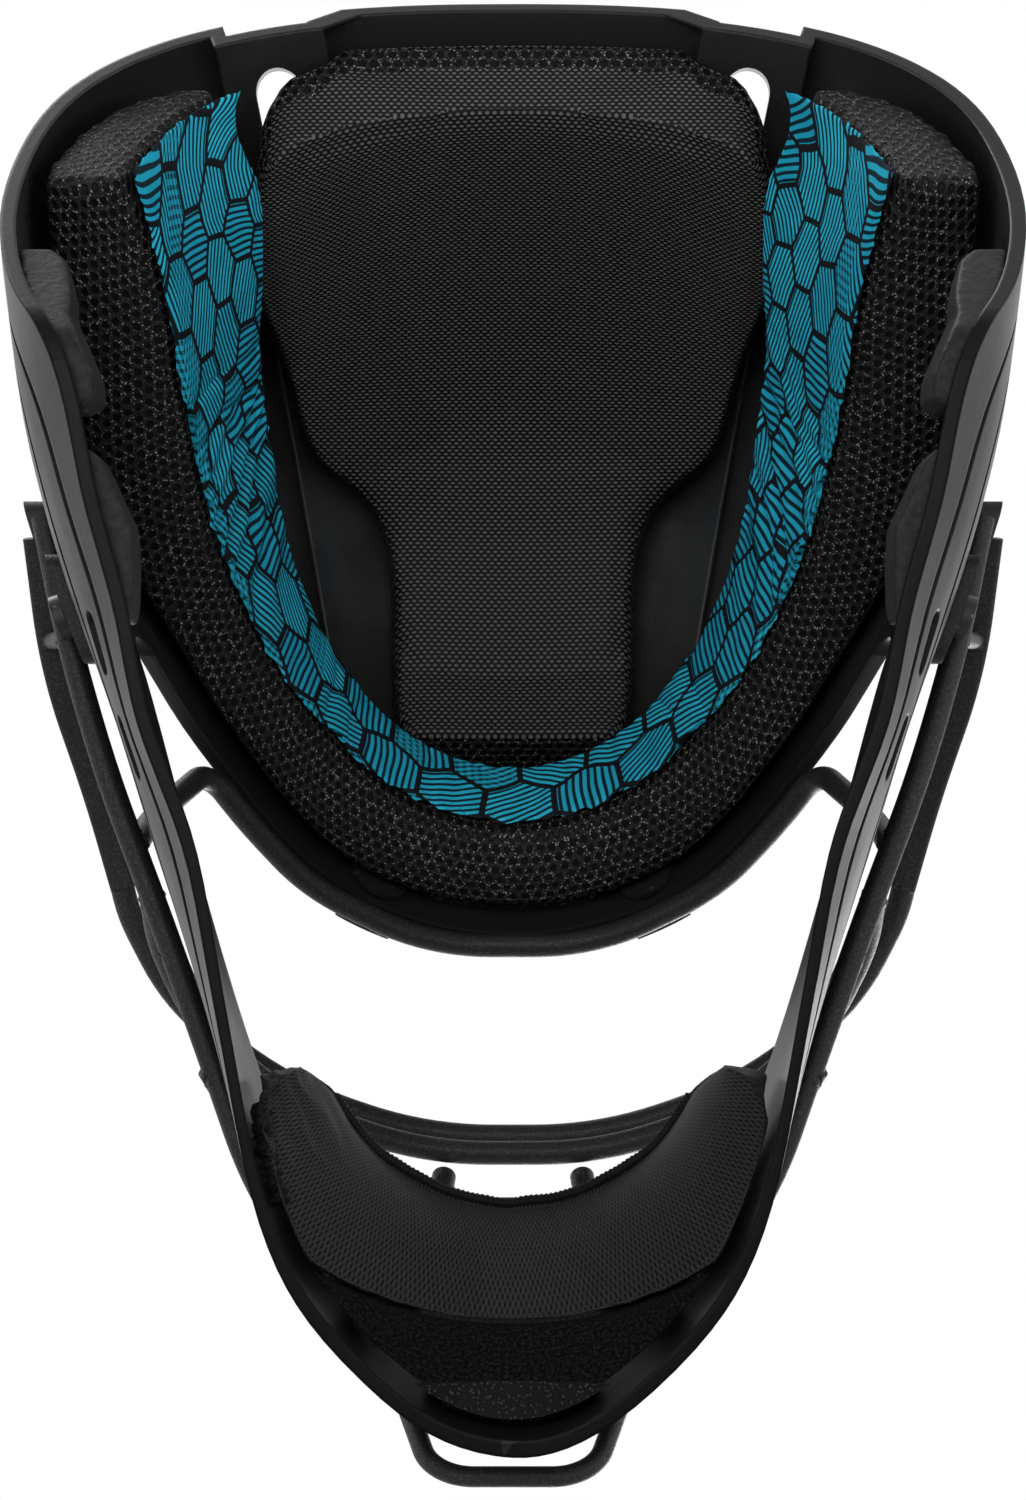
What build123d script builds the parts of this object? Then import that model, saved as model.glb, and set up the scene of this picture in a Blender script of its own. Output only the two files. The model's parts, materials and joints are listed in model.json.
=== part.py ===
from build123d import *
import os
from math import cos, hypot, radians, sin, sqrt, tan

os.makedirs("parts", exist_ok=True)

# A catcher's helmet that rests on the rim of its ears, jaw rails and chin cup.
# The wearer faces -Y and looks up by HEAD_TILT, +Z is up, and X = 0 is the plane of symmetry.

# Driving sizes of the moulded shell
SHELL_HALF_WIDTH = 110.5
SHELL_FRONT = 156.0
SHELL_BACK = 190.0
SHELL_HEIGHT = 200.0
SHELL_WALL = 3.5
OVERRUN = 60.0

# The rear edge of the shell is one slanting cut, and the ear corner below it is rounded.
REAR_HEEL_Y = 80.0
REAR_TOP_Y = 215.0
EAR_CORNER_RADIUS = 14.0

# Channels that run over the crown, and the panels between them
CHANNEL_DEPTH = 4.5
CHANNEL_WIDTH = 18.0
CHANNEL_FRONT_X = 30.0
CHANNEL_FRONT_Y = 5.0
CHANNEL_REAR_X = 60.0
CHANNEL_REAR_Y = 178.0
GROOVE_DEPTH = 1.2
GROOVE_WIDTH = 2.2
VENT_LENGTH = 24.0
VENT_WIDTH = 11.0
EAR_VENT_LENGTH = 19.0
EAR_VENT_WIDTH = 5.0
EAR_VENT_PITCH = 11.0
JAW_SLOT_LENGTH = 14.0
JAW_SLOT_WIDTH = 5.5

# The wearer's head, as the form that the padding is moulded to
HEAD_TILT = 31.0
HEAD_Y = 0.2658 * SHELL_BACK
HEAD_Z = 0.41 * SHELL_HEIGHT
HEAD_WIDE = 0.905 * SHELL_HALF_WIDTH
HEAD_LONG = HEAD_Y + 0.3173 * SHELL_FRONT
HEAD_HIGH = 0.41 * SHELL_HEIGHT
HEAD_OFFSET = 5.0

# Rods and flat bars of the cage
ROD_RADIUS = 2.75
LOOP_ROD_RADIUS = 2.25
CROSS_ROD_RADIUS = 2.0
PLATE_WIDTH = 6.0
PLATE_THICKNESS = 3.0
WELD_GAP = 0.1
BROW_ROD_GAP = 0.6
TAB_THICKNESS = 3.0
STRAP_THICKNESS = 2.0
SEAT_GAP = 0.3
BEND_SHARE = 0.45

# Fixings of the cage
SCREW_RADIUS = 2.4
SCREW_HEAD_RADIUS = 5.0
SCREW_HEAD_HEIGHT = 2.4
SCREW_CLEARANCE = 0.3
NUT_FLANGE_RADIUS = 7.0
NUT_FLANGE = 1.2
NUT_GAP = 0.6
NUT_BARREL_RADIUS = 3.6
STRAP_WIDTH = 14.0
STRAP_LENGTH = 20.0
STRAP_SCREW_SHARE = 0.62
CLIP_BODY = 7.5
TEMPLE_CLIP_SHARES = (0.165, 0.3, 0.352, 0.46)
TEMPLE_SCREW_SHARE = 0.375

# Padding
PAD_GAP = 0.25
PATCH_THICKNESS = 2.2
PATCH_LENGTH = 40.0
PATCH_WIDTH = 20.0
CHIN_PATCH_LENGTH = 30.0
PATCH_CORNER = 4.0
CROWN_PAD_THICKNESS = 19.0
PAD_CROWN = 2.5
LINER_DEPTH = 27.0
BAND_THICKNESS = 3.0
BAND_REACH = 12.0
CHIN_CROWN = 4.5
STRIP_THICKNESS = 1.6
STRIP_HALF_LENGTH = 26.0
STRIP_WIDTH = 9.0
CHIN_PAD_TOP = 49.0
CHIN_PAD_FOOT = 6.0
CHIN_CURVE_RADIUS = 41.0
CHIN_CURVE_Y = -64.0
CHIN_SEAM_RADIUS = 75.5
CHIN_SEAM_Y = -54.5
RIM_PAD_THICKNESS = 6.5
RIM_PAD_LIFT = 3.5
EAR_PAD_TOP = 40.0
JAW_PAD_TOP = 28.0

# Levels of the shell from the ground up, each as shares of the driving sizes: height, centre,
# half width, front, back, how much of the rim's tuck, how round, and the slope in degrees.
LEVEL_SHARES = (
    (-0.05, 0.568, 0.906, 1.01, 0.99, 1.0, 0.0, 90),
    (0.0, 0.568, 0.933, 1.0, 0.99, 1.0, 0.0, 90),
    (0.175, 0.558, 1.0, 0.952, 1.0, 0.0, 0.0, 90),
    (0.325, 0.532, 1.0, 0.84, 0.99, 0.0, 0.0, 88),
    (0.475, 0.479, 0.987, 0.641, 0.953, 0.0, 0.05, 82),
    (0.625, 0.41, 0.915, 0.4615, 0.868, 0.0, 0.1, 66),
    (0.75, 0.347, 0.798, 0.314, 0.753, 0.0, 0.35, 55),
    (0.85, 0.29, 0.646, 0.208, 0.632, 0.0, 0.7, 42),
    (0.93, 0.242, 0.466, 0.09, 0.5, 0.0, 1.0, 30),
    (0.98, 0.21, 0.26, -0.07, 0.368, 0.0, 1.0, 15),
)
APEX_SHARE = 0.195

# Half widths of the jaw from the widest place forward: share of the reach, rim, belly.
JAW_SHARES = (
    (0.07, 0.985, 0.985),
    (0.15, 0.92, 0.96),
    (0.24, 0.871, 0.915),
    (0.33, 0.808, 0.852),
    (0.42, 0.76, 0.777),
    (0.51, 0.675, 0.713),
    (0.6, 0.625, 0.645),
    (0.7, 0.578, 0.568),
    (0.8, 0.525, 0.482),
    (0.88, 0.437, 0.39),
    (0.94, 0.305, 0.275),
    (0.98, 0.175, 0.155),
)
NAPE_POWER = 2.5
NAPE_SHARES = (0.25, 0.5, 0.75, 0.92)

# Side view of the face opening: shares of the front reach and of the height.
BROW_SHARE = (-0.346, 0.715)
TEMPLE_SHARE = (0.167, 0.47)
RAIL_SHARES = ((-0.07, 0.375), (-0.378, 0.29), (-0.64, 0.2525), (-1.12, 0.2375))
TEMPLE_RADIUS = 9.0


def level_outline(level, grow):
    """Height and closed outline of one level, moved outward by grow along the wall's slope."""
    height, centre, width, front, back, rim, roundness, slope = level
    lift = grow * cos(radians(slope))
    spread = grow * sin(radians(slope))
    middle = centre * SHELL_BACK
    half = width * SHELL_HALF_WIDTH + spread
    forward = middle + front * SHELL_FRONT + spread
    rearward = back * SHELL_BACK - middle + spread
    side = []
    for share, at_rim, at_belly in reversed(JAW_SHARES):
        jaw = at_belly + (at_rim - at_belly) * rim
        oval = sqrt(1 - share * share)
        side.append((half * (jaw + (oval - jaw) * roundness), middle - forward * share))
    side.append((half, middle))
    for share in NAPE_SHARES:
        nape = (1 - share**NAPE_POWER) ** (1 / NAPE_POWER)
        side.append((half * nape, middle + rearward * share))
    other_side = [(-x, y) for x, y in reversed(side)]
    outline = [(0, middle - forward), *side, (0, middle + rearward), *other_side]
    return height * SHELL_HEIGHT + lift, outline


def shares_round(outline):
    """How far round a closed outline each of its points lies, with the first one again as 1."""
    closed = [*outline, outline[0]]
    steps = [hypot(b[0] - a[0], b[1] - a[1]) for a, b in zip(closed, closed[1:])]
    return [sum(steps[:count]) / sum(steps) for count in range(len(closed))]


# One set of spline parameters serves every level, which keeps the lofted surface simple.
ROUND_SHARES = shares_round(level_outline(LEVEL_SHARES[2], 0)[1])


def envelope(grow):
    """The whole outer form of the shell, moved outward by grow."""
    faces = []
    for level in LEVEL_SHARES:
        height, outline = level_outline(level, grow)
        with BuildSketch(Plane.XY.offset(height)) as slice_of_shell:
            with BuildLine():
                add(Edge.make_spline(outline, periodic=True, parameters=ROUND_SHARES))
            make_face()
        faces.append(slice_of_shell.sketch.face())
    apex = Vertex(0, APEX_SHARE * SHELL_BACK, SHELL_HEIGHT + grow)
    with BuildPart() as form:
        loft(sections=[*faces, apex])
    return form.part


def across(sketch):
    """A side view made into a solid right across the helmet."""
    reach = SHELL_HALF_WIDTH + OVERRUN
    with BuildPart() as solid:
        with BuildSketch(Plane.YZ.offset(-reach)):
            add(sketch)
        extrude(amount=2 * reach)
    return solid.part


def upright_solid(sketch, low, high):
    """A plan made into a solid from the height low to the height high."""
    with BuildPart() as solid:
        with BuildSketch(Plane.XY.offset(low)):
            add(sketch)
        extrude(amount=high - low)
    return solid.part


def meet(first, second):
    """What two solids share."""
    with BuildPart() as shared:
        add(first)
        add(second, mode=Mode.INTERSECT)
    return shared.part


def less(first, *others):
    """The first solid without the others."""
    with BuildPart() as rest:
        add(first)
        add(others, mode=Mode.SUBTRACT)
    return rest.part


def largest(part):
    """The largest solid of a part, without the crumbs that a cut leaves."""
    with BuildPart() as kept:
        add(part.solids().sort_by(SortBy.VOLUME)[-1])
    return kept.part


def hit(form, start, direction):
    """Where a ray from inside a form leaves it, and the outward normal there."""
    found = []
    for face in form.faces():
        found += face.find_intersection_points(Axis(start, direction))
    ahead = [pair for pair in found if (pair[0] - Vector(start)).dot(Vector(direction)) > 0]
    point, normal = max(ahead, key=lambda pair: (pair[0] - Vector(start)).length)
    if normal.dot(Vector(direction)) < 0:
        normal = -normal
    return point, normal.normalized()


def bent_rod(points, section):
    """A rod bent through points, each bend as large as its two runs allow."""
    places = [Vector(*point) for point in points]
    radii = []
    for before, here, after in zip(places, places[1:], places[2:]):
        turn = (here - before).get_angle(after - here)
        run = min((here - before).length, (after - here).length)
        radii.append(BEND_SHARE * run / tan(radians(turn / 2)))
    with BuildPart() as rod:
        with BuildLine() as route:
            if radii:
                FilletPolyline(*places, radius=radii)
            else:
                Line(*places)
        facing = Plane(origin=route.line @ 0, x_dir=level_across(route.line % 0), z_dir=route.line % 0)
        with BuildSketch(facing):
            add(section)
        sweep()
    return rod.part


def level_across(direction):
    """A level direction square to a rod's direction."""
    return Vector(0, 0, 1).cross(direction).normalized()


def cage_point(share):
    """A point of the cage, from its shares of the shell's half width, front reach and height."""
    return Vector(share[0] * SHELL_HALF_WIDTH, share[1] * SHELL_FRONT, share[2] * SHELL_HEIGHT)


def both_sides(half):
    """Points for a bar right across the face, from the points of its +X half."""
    mirrored = [(-x, y, z) for x, y, z in reversed(half)]
    return [cage_point(share) for share in [*mirrored, *half]]


def write(part, name):
    """Label one finished piece and write it to its file."""
    part.label = name
    export_step(part, "parts/" + name + ".step")


# The forms of the shell at each depth of its wall
outer_form = envelope(0)
inner_form = envelope(-SHELL_WALL)
channel_form = envelope(-CHANNEL_DEPTH)
channel_inner_form = envelope(-CHANNEL_DEPTH - SHELL_WALL)
pad_form = envelope(-SHELL_WALL - PATCH_THICKNESS - 2 * PAD_GAP)
pad_channel_form = envelope(-CHANNEL_DEPTH - SHELL_WALL - 2 * PAD_GAP)
patch_outer_form = envelope(-SHELL_WALL - PAD_GAP)
patch_inner_form = envelope(-SHELL_WALL - PAD_GAP - PATCH_THICKNESS)
groove_form = envelope(-GROOVE_DEPTH)

# Side view of the shell, with its rear cut and face opening, as Y and Z, and a smaller one inside
far_ahead = -SHELL_FRONT - OVERRUN
brow = (BROW_SHARE[0] * SHELL_FRONT, BROW_SHARE[1] * SHELL_HEIGHT)
temple = (TEMPLE_SHARE[0] * SHELL_FRONT, TEMPLE_SHARE[1] * SHELL_HEIGHT)
brow_slope = (brow[1] - temple[1]) / (brow[0] - temple[0])
rail = [(y * SHELL_FRONT, z * SHELL_HEIGHT) for y, z in RAIL_SHARES]
with BuildSketch() as face_opening:
    with BuildLine():
        Line((2 * far_ahead, brow[1] + brow_slope * (2 * far_ahead - brow[0])), temple)
        Spline(temple, *rail)
        Polyline(
            rail[-1],
            (2 * far_ahead, rail[-1][1]),
            (2 * far_ahead, brow[1] + brow_slope * (2 * far_ahead - brow[0])),
        )
    make_face()
    fillet(face_opening.vertices().sort_by(Axis.X)[-1], TEMPLE_RADIUS)
rear_slope = SHELL_HEIGHT / (REAR_TOP_Y - REAR_HEEL_Y)
with BuildSketch() as side_view:
    with BuildLine():
        Polyline(
            (far_ahead, 0),
            (REAR_HEEL_Y, 0),
            (REAR_TOP_Y + OVERRUN, SHELL_HEIGHT + OVERRUN * rear_slope),
            (far_ahead, SHELL_HEIGHT + OVERRUN * rear_slope),
            close=True,
        )
    make_face()
    fillet(side_view.vertices().sort_by(Axis.X)[-2], EAR_CORNER_RADIUS)
    add(face_opening.sketch, mode=Mode.SUBTRACT)
shell_block = across(side_view.sketch)
with BuildSketch() as inset_side_view:
    add(side_view.sketch)
    offset(amount=-RIM_PAD_LIFT)
inset_block = across(inset_side_view.sketch)


# Where each channel flares at the rear rim, as shares of the half width and of the back
FLARE_SHARES = ((0.27, 0.881), (0.46, 0.832), (0.585, 0.8), (0.68, 0.95), (0.27, 0.95))


def channel_plan(width):
    """Plan of both channels over the crown, which flare where they run out at the rear."""
    middle = ((CHANNEL_FRONT_X + CHANNEL_REAR_X) / 2, (CHANNEL_FRONT_Y + CHANNEL_REAR_Y) / 2)
    with BuildSketch() as flare:
        with BuildLine():
            Polyline(*[(x * SHELL_HALF_WIDTH, y * SHELL_BACK) for x, y in FLARE_SHARES], close=True)
        make_face()
        if width > CHANNEL_WIDTH:
            offset(amount=(width - CHANNEL_WIDTH) / 2)
    with BuildSketch() as plan:
        SlotCenterPoint(middle, (CHANNEL_REAR_X, CHANNEL_REAR_Y), width)
        add(flare.sketch)
        mirror(about=Plane.YZ)
    return plan.sketch


CHANNEL_LOW = 0.35 * SHELL_HEIGHT
CHANNEL_HIGH = SHELL_HEIGHT + OVERRUN
channels = upright_solid(channel_plan(CHANNEL_WIDTH), CHANNEL_LOW, CHANNEL_HIGH)
wide_channels = upright_solid(channel_plan(CHANNEL_WIDTH + 2 * SHELL_WALL), CHANNEL_LOW, CHANNEL_HIGH)
pad_channel_width = CHANNEL_WIDTH + 2 * SHELL_WALL + 4 * PAD_GAP
pad_channels = upright_solid(channel_plan(pad_channel_width), CHANNEL_LOW, CHANNEL_HIGH)

# Vents through the floor of each channel, through the ears and low in the jaw rails
channel_angle = Vector(0, 1).get_signed_angle(
    Vector(CHANNEL_REAR_X - CHANNEL_FRONT_X, CHANNEL_REAR_Y - CHANNEL_FRONT_Y)
)
VENT_SHARES = (0.5, 0.765)
with BuildSketch() as vent_plan:
    for share in VENT_SHARES:
        vent_x = CHANNEL_FRONT_X + share * (CHANNEL_REAR_X - CHANNEL_FRONT_X)
        vent_y = CHANNEL_FRONT_Y + share * (CHANNEL_REAR_Y - CHANNEL_FRONT_Y)
        with Locations((vent_x, vent_y)):
            SlotOverall(VENT_LENGTH, VENT_WIDTH, rotation=90 - channel_angle)
    mirror(about=Plane.YZ)
vents = upright_solid(vent_plan.sketch, CHANNEL_LOW, CHANNEL_HIGH)

EAR_VENT_SHARE = (0.38, 0.27)
JAW_SLOT_SHARES = ((0.09, 0.085), (-0.051, 0.085))
with BuildSketch() as side_vents:
    with Locations((EAR_VENT_SHARE[0] * SHELL_BACK, EAR_VENT_SHARE[1] * SHELL_HEIGHT)):
        with GridLocations(EAR_VENT_PITCH, 0, 3, 1):
            SlotOverall(EAR_VENT_LENGTH, EAR_VENT_WIDTH, rotation=60)
    for y_share, z_share in JAW_SLOT_SHARES:
        with Locations((y_share * SHELL_FRONT, z_share * SHELL_HEIGHT)):
            SlotOverall(JAW_SLOT_LENGTH, JAW_SLOT_WIDTH)

# Two styling grooves along each ear section and jaw rail, as Y and Z shares of their upper edges
GROOVE_SHARES = (
    ((0.54, 0.155), (0.42, 0.085), (0.25, 0.057), (0.0, 0.05), (-0.35, 0.05), (-0.74, 0.052)),
    ((0.5, 0.19), (0.33, 0.142), (0.1, 0.13), (-0.25, 0.135), (-0.66, 0.14)),
)
groove_blocks = []
for groove_shares in GROOVE_SHARES:
    upper_edge = [(y * SHELL_FRONT, z * SHELL_HEIGHT) for y, z in groove_shares]
    lower_edge = [(y, z - GROOVE_WIDTH) for y, z in upper_edge]
    with BuildSketch() as groove_view:
        with BuildLine():
            Spline(*upper_edge)
            Spline(*lower_edge)
            Line(upper_edge[0], lower_edge[0])
            Line(upper_edge[-1], lower_edge[-1])
        make_face()
    groove_blocks.append(less(across(groove_view.sketch), groove_form))

# Cage rods, as shares of the half width, the front reach and the height, from the front's middle
# outward. The rods are round wire, bent and welded, and each bar is coped to what it meets.
with BuildSketch() as rod_section:
    Circle(ROD_RADIUS)
with BuildSketch() as coped_section:
    Circle(ROD_RADIUS + WELD_GAP)
with BuildSketch() as loop_section:
    Circle(LOOP_ROD_RADIUS)
with BuildSketch() as coped_loop_section:
    Circle(LOOP_ROD_RADIUS + WELD_GAP)
with BuildSketch() as cross_section:
    Circle(CROSS_ROD_RADIUS)
with BuildSketch() as plate_section:
    RectangleRounded(PLATE_WIDTH, PLATE_THICKNESS, PLATE_THICKNESS / 3)
with BuildSketch() as coped_plate_section:
    Rectangle(PLATE_WIDTH + 2 * WELD_GAP, PLATE_THICKNESS + 2 * WELD_GAP)

SIDE_ROD_SHARES = (
    (0.582, -0.516, 0.255),
    (0.708, -0.269, 0.27),
    (0.806, -0.09, 0.285),
    (0.886, 0.1, 0.306),
    (0.938, 0.275, 0.33),
)
CHIN_ROD_SHARES = (
    (0.17, -0.945, 0.24),
    (0.36, -0.83, 0.243),
    (0.517, -0.647, 0.247),
    (0.582, -0.516, 0.255),
)
SIDE_PLATE_SHARES = (
    (0.8, -0.255, 0.495),
    (0.852, -0.12, 0.475),
    (0.935, 0.06, 0.435),
    (0.965, 0.25, 0.405),
)
EYE_UPPER_SHARES = (
    (0.179, -0.625, 0.58),
    (0.466, -0.554, 0.56),
    (0.7, -0.423, 0.525),
    (0.8, -0.282, 0.505),
    (0.815, -0.18, 0.493),
)
EYE_LOWER_SHARES = (
    (0.179, -0.644, 0.525),
    (0.448, -0.577, 0.505),
    (0.637, -0.455, 0.44),
    (0.71, -0.33, 0.35),
    (0.715, -0.256, 0.271),
)
MOUTH_SHARES = ((0.179, -0.715, 0.42), (0.44, -0.62, 0.4), (0.6, -0.48, 0.345), (0.678, -0.333, 0.266))
LOWER_SHARES = ((0.179, -0.772, 0.32), (0.4, -0.69, 0.31), (0.53, -0.59, 0.29), (0.599, -0.5, 0.256))
UPRIGHT_SHARES = (
    (0.143, -0.68, 0.5375),
    (0.161, -0.752, 0.4325),
    (0.18, -0.812, 0.3325),
    (0.19, -0.945, 0.24),
)
BROW_END_SHARES = ((0.735, -0.154, 0.425), (0.745, -0.186, 0.2775))
LOOP_SHARES = ((0.155, -1.0445, 0.11), (0.226, -0.935, 0.241))
LOOP_BEND_SHARE = 0.35
CROSS_SHARES = ((0.884, 0.1025, 0.3), (0.938, 0.1025, 0.425))


def mirrored(part):
    """The same piece on the other side of the helmet."""
    with BuildPart() as other:
        add(part)
        mirror(about=Plane.YZ, mode=Mode.REPLACE)
    return other.part


side_route = [cage_point(share) for share in SIDE_ROD_SHARES]
side_rod = bent_rod(side_route, rod_section.sketch)
side_cope = bent_rod(side_route, coped_section.sketch)
chin_points = both_sides(CHIN_ROD_SHARES)
for end, beside in ((0, 1), (-1, -2)):
    chin_points[end] += (chin_points[beside] - chin_points[end]).normalized() * WELD_GAP
chin_rod = bent_rod(chin_points, rod_section.sketch)
chin_cope = bent_rod(chin_points, coped_section.sketch)
plate_route = [cage_point(share) for share in SIDE_PLATE_SHARES]
side_plate = bent_rod(plate_route, plate_section.sketch)
plate_cope = bent_rod(plate_route, coped_plate_section.sketch)

side_copes = [side_cope, mirrored(side_cope)]
plate_copes = [plate_cope, mirrored(plate_cope)]

eye_upper = largest(less(bent_rod(both_sides(EYE_UPPER_SHARES), rod_section.sketch), *plate_copes))
eye_lower = largest(less(bent_rod(both_sides(EYE_LOWER_SHARES), rod_section.sketch), *side_copes))
mouth = largest(less(bent_rod(both_sides(MOUTH_SHARES), rod_section.sketch), *side_copes))
lower = largest(less(bent_rod(both_sides(LOWER_SHARES), rod_section.sketch), *side_copes, chin_cope))

# The brow bar follows the brow edge of the shell, just under its cut.
brow_across = Vector(0, brow[0] - temple[0], brow[1] - temple[1]).normalized()
brow_down = Vector(0, -brow_across.Z, brow_across.Y)
if brow_down.Z > 0:
    brow_down = -brow_down
BROW_ANGLES = (12, 32, 47, 58)
brow_centre = Vector(0, temple[0], temple[1]) + brow_down * (ROD_RADIUS + BROW_ROD_GAP)
brow_half = []
for angle in BROW_ANGLES:
    direction = Vector(sin(radians(angle)), 0, 0) + brow_across * cos(radians(angle))
    point, normal = hit(outer_form, brow_centre, direction)
    brow_half.append(point)
brow_half += [cage_point(share) for share in BROW_END_SHARES]
brow_other = [Vector(-p.X, p.Y, p.Z) for p in reversed(brow_half)]
brow_bar = largest(less(bent_rod([*brow_other, *brow_half], rod_section.sketch), *side_copes))

upright_copes = [bent_rod(both_sides(EYE_LOWER_SHARES), coped_section.sketch)]
upright_copes.append(bent_rod(both_sides(MOUTH_SHARES), coped_section.sketch))
upright_copes.append(bent_rod(both_sides(LOWER_SHARES), coped_section.sketch))
upright_copes.append(chin_cope)
upright_route = [cage_point(share) for share in UPRIGHT_SHARES]
upright = largest(less(bent_rod(upright_route, rod_section.sketch), *upright_copes))
upright_cope = bent_rod(upright_route, coped_section.sketch)
front_copes = [upright_cope, mirrored(upright_cope), chin_cope]

# Throat guard loop, one bent rod welded to the chin rod
loop_points = both_sides(LOOP_SHARES)
loop_bend = LOOP_BEND_SHARE * (loop_points[1] - loop_points[0]).length
loops = []
for section in (loop_section, coped_loop_section):
    with BuildPart() as swept:
        with BuildLine() as loop_route:
            FilletPolyline(*loop_points, radius=loop_bend)
        loop_start = loop_route.line % 0
        with BuildSketch(Plane(origin=loop_route.line @ 0, x_dir=(1, 0, 0), z_dir=loop_start)):
            add(section.sketch)
        sweep()
    loops.append(swept.part)
throat = largest(less(loops[0], *front_copes))
front_copes.append(loops[1])

# Mount tab: a steel strip that lies on the shell behind the side rod
TAB_SHARES = (0.066, 0.218, 0.222, 0.315)
TAB_SCREW_SHARE = 0.26
with BuildSketch() as tab_view:
    low_y, high_y, low_z, high_z = TAB_SHARES
    with Locations(((low_y + high_y) / 2 * SHELL_FRONT, (low_z + high_z) / 2 * SHELL_HEIGHT)):
        RectangleRounded(
            (high_y - low_y) * SHELL_FRONT,
            (high_z - low_z) * SHELL_HEIGHT,
            (high_z - low_z) * SHELL_HEIGHT / 5,
        )
tabs = less(
    meet(envelope(SEAT_GAP + TAB_THICKNESS), across(tab_view.sketch)),
    envelope(SEAT_GAP),
    *side_copes,
)
tab = tabs.solids().sort_by(Axis.X)[-1]

cross_route = [cage_point(share) for share in CROSS_SHARES]
cross_rod = largest(less(bent_rod(cross_route, cross_section.sketch), side_cope, plate_cope))

# The head form that the padding follows, in the frame of the tilted head
head_up = (0, sin(radians(HEAD_TILT)), cos(radians(HEAD_TILT)))
head_plane = Plane(origin=(0, HEAD_Y, HEAD_Z), x_dir=(1, 0, 0), z_dir=head_up)


def head_radius(reach, height):
    """Distance of the head form from its axis, from its reach at the base and its height."""
    return reach * sqrt(1 - ((height - HEAD_OFFSET) / HEAD_HIGH) ** 2)


def four_arcs(corners, bulges):
    """A closed section of four arcs, each bulging outward from its side by a named amount."""
    count = len(corners)
    middle = Vector(0, 0)
    for corner in corners:
        middle += Vector(*corner) / count
    with BuildSketch() as section:
        with BuildLine():
            for index, bulge in enumerate(bulges):
                start = Vector(*corners[index])
                end = Vector(*corners[(index + 1) % count])
                halfway = (start + end) / 2
                outward = Vector(end.Y - start.Y, start.X - end.X).normalized()
                if outward.dot(halfway - middle) < 0:
                    outward = -outward
                ThreePointArc(start, halfway + outward * bulge, end)
        make_face()
    return section.sketch


# Front pad: a horseshoe round the forehead and the sides of the head. Each station has its
# angle from the face, its reach as a share of the head's oval, and the heights of its lower and
# upper edges as shares of the head's half height.
LINER_SHARES = (
    (0, 0.985, 0.03, 0.33),
    (14, 0.95, 0.031, 0.345),
    (28, 0.872, 0.036, 0.39),
    (46, 0.785, 0.055, 0.49),
    (68, 0.733, 0.09, 0.61),
    (90, 0.745, 0.13, 0.675),
    (112, 0.85, 0.17, 0.745),
    (126, 1.05, 0.19, 0.79),
    (138, 1.3, 0.2, 0.8),
)
LINER_END_SHARE = 0.695
BAND_EDGE_SHARE = 0.03
PAD_EDGE_SHARE = 0.004


def horseshoe(inset, depth, edge):
    """A pad round the head form, from inset inside it to depth outside, edge short of the liner."""
    sections = []
    stations = [(-angle, *rest) for angle, *rest in reversed(LINER_SHARES[1:])]
    for angle, plan, low_share, high_share in [*stations, *LINER_SHARES]:
        low = (low_share + edge) * HEAD_HIGH
        high = (high_share - edge) * HEAD_HIGH
        outward = Vector(HEAD_WIDE * sin(radians(angle)), -HEAD_LONG * cos(radians(angle)), 0)
        reach = plan * outward.length
        direction = (head_plane.from_local_coords(outward) - head_plane.origin).normalized()
        start = head_plane.from_local_coords(Vector(0, HEAD_OFFSET, 0))
        along = direction.cross(head_plane.z_dir)
        station = Plane(origin=start, x_dir=direction, z_dir=along)
        inner_low = head_radius(reach, low) - inset
        inner_high = head_radius(reach, high) - inset
        corners = (
            (inner_low, low),
            (head_radius(reach, low) + depth, low),
            (head_radius(reach, high) + depth, high),
            (inner_high, high),
        )
        middle = head_radius(reach, (low + high) / 2) - inset
        sag = (inner_low + inner_high) / 2 - middle
        bulges = (PAD_CROWN, -sag, PAD_CROWN, PAD_CROWN + sag)
        with BuildSketch(station) as placed:
            add(four_arcs(corners, bulges))
        sections.append(placed.sketch.face())
    with BuildPart() as pad:
        loft(sections=sections)
    return pad.part


nape_reach = LINER_END_SHARE * HEAD_LONG
with BuildPart() as nape_block:
    with BuildSketch(head_plane.offset(-SHELL_HEIGHT)):
        with Locations((0, nape_reach)):
            Rectangle(4 * SHELL_HALF_WIDTH, 2 * SHELL_BACK, align=(Align.CENTER, Align.MIN))
    extrude(amount=3 * SHELL_HEIGHT)
liner_blank = horseshoe(0, LINER_DEPTH, 0)
liner = less(meet(liner_blank, pad_form), nape_block.part, pad_channels)
band_blank = horseshoe(BAND_THICKNESS + PAD_GAP, BAND_REACH, BAND_EDGE_SHARE)
band = less(band_blank, horseshoe(PAD_GAP, LINER_DEPTH, 0), nape_block.part)

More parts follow.
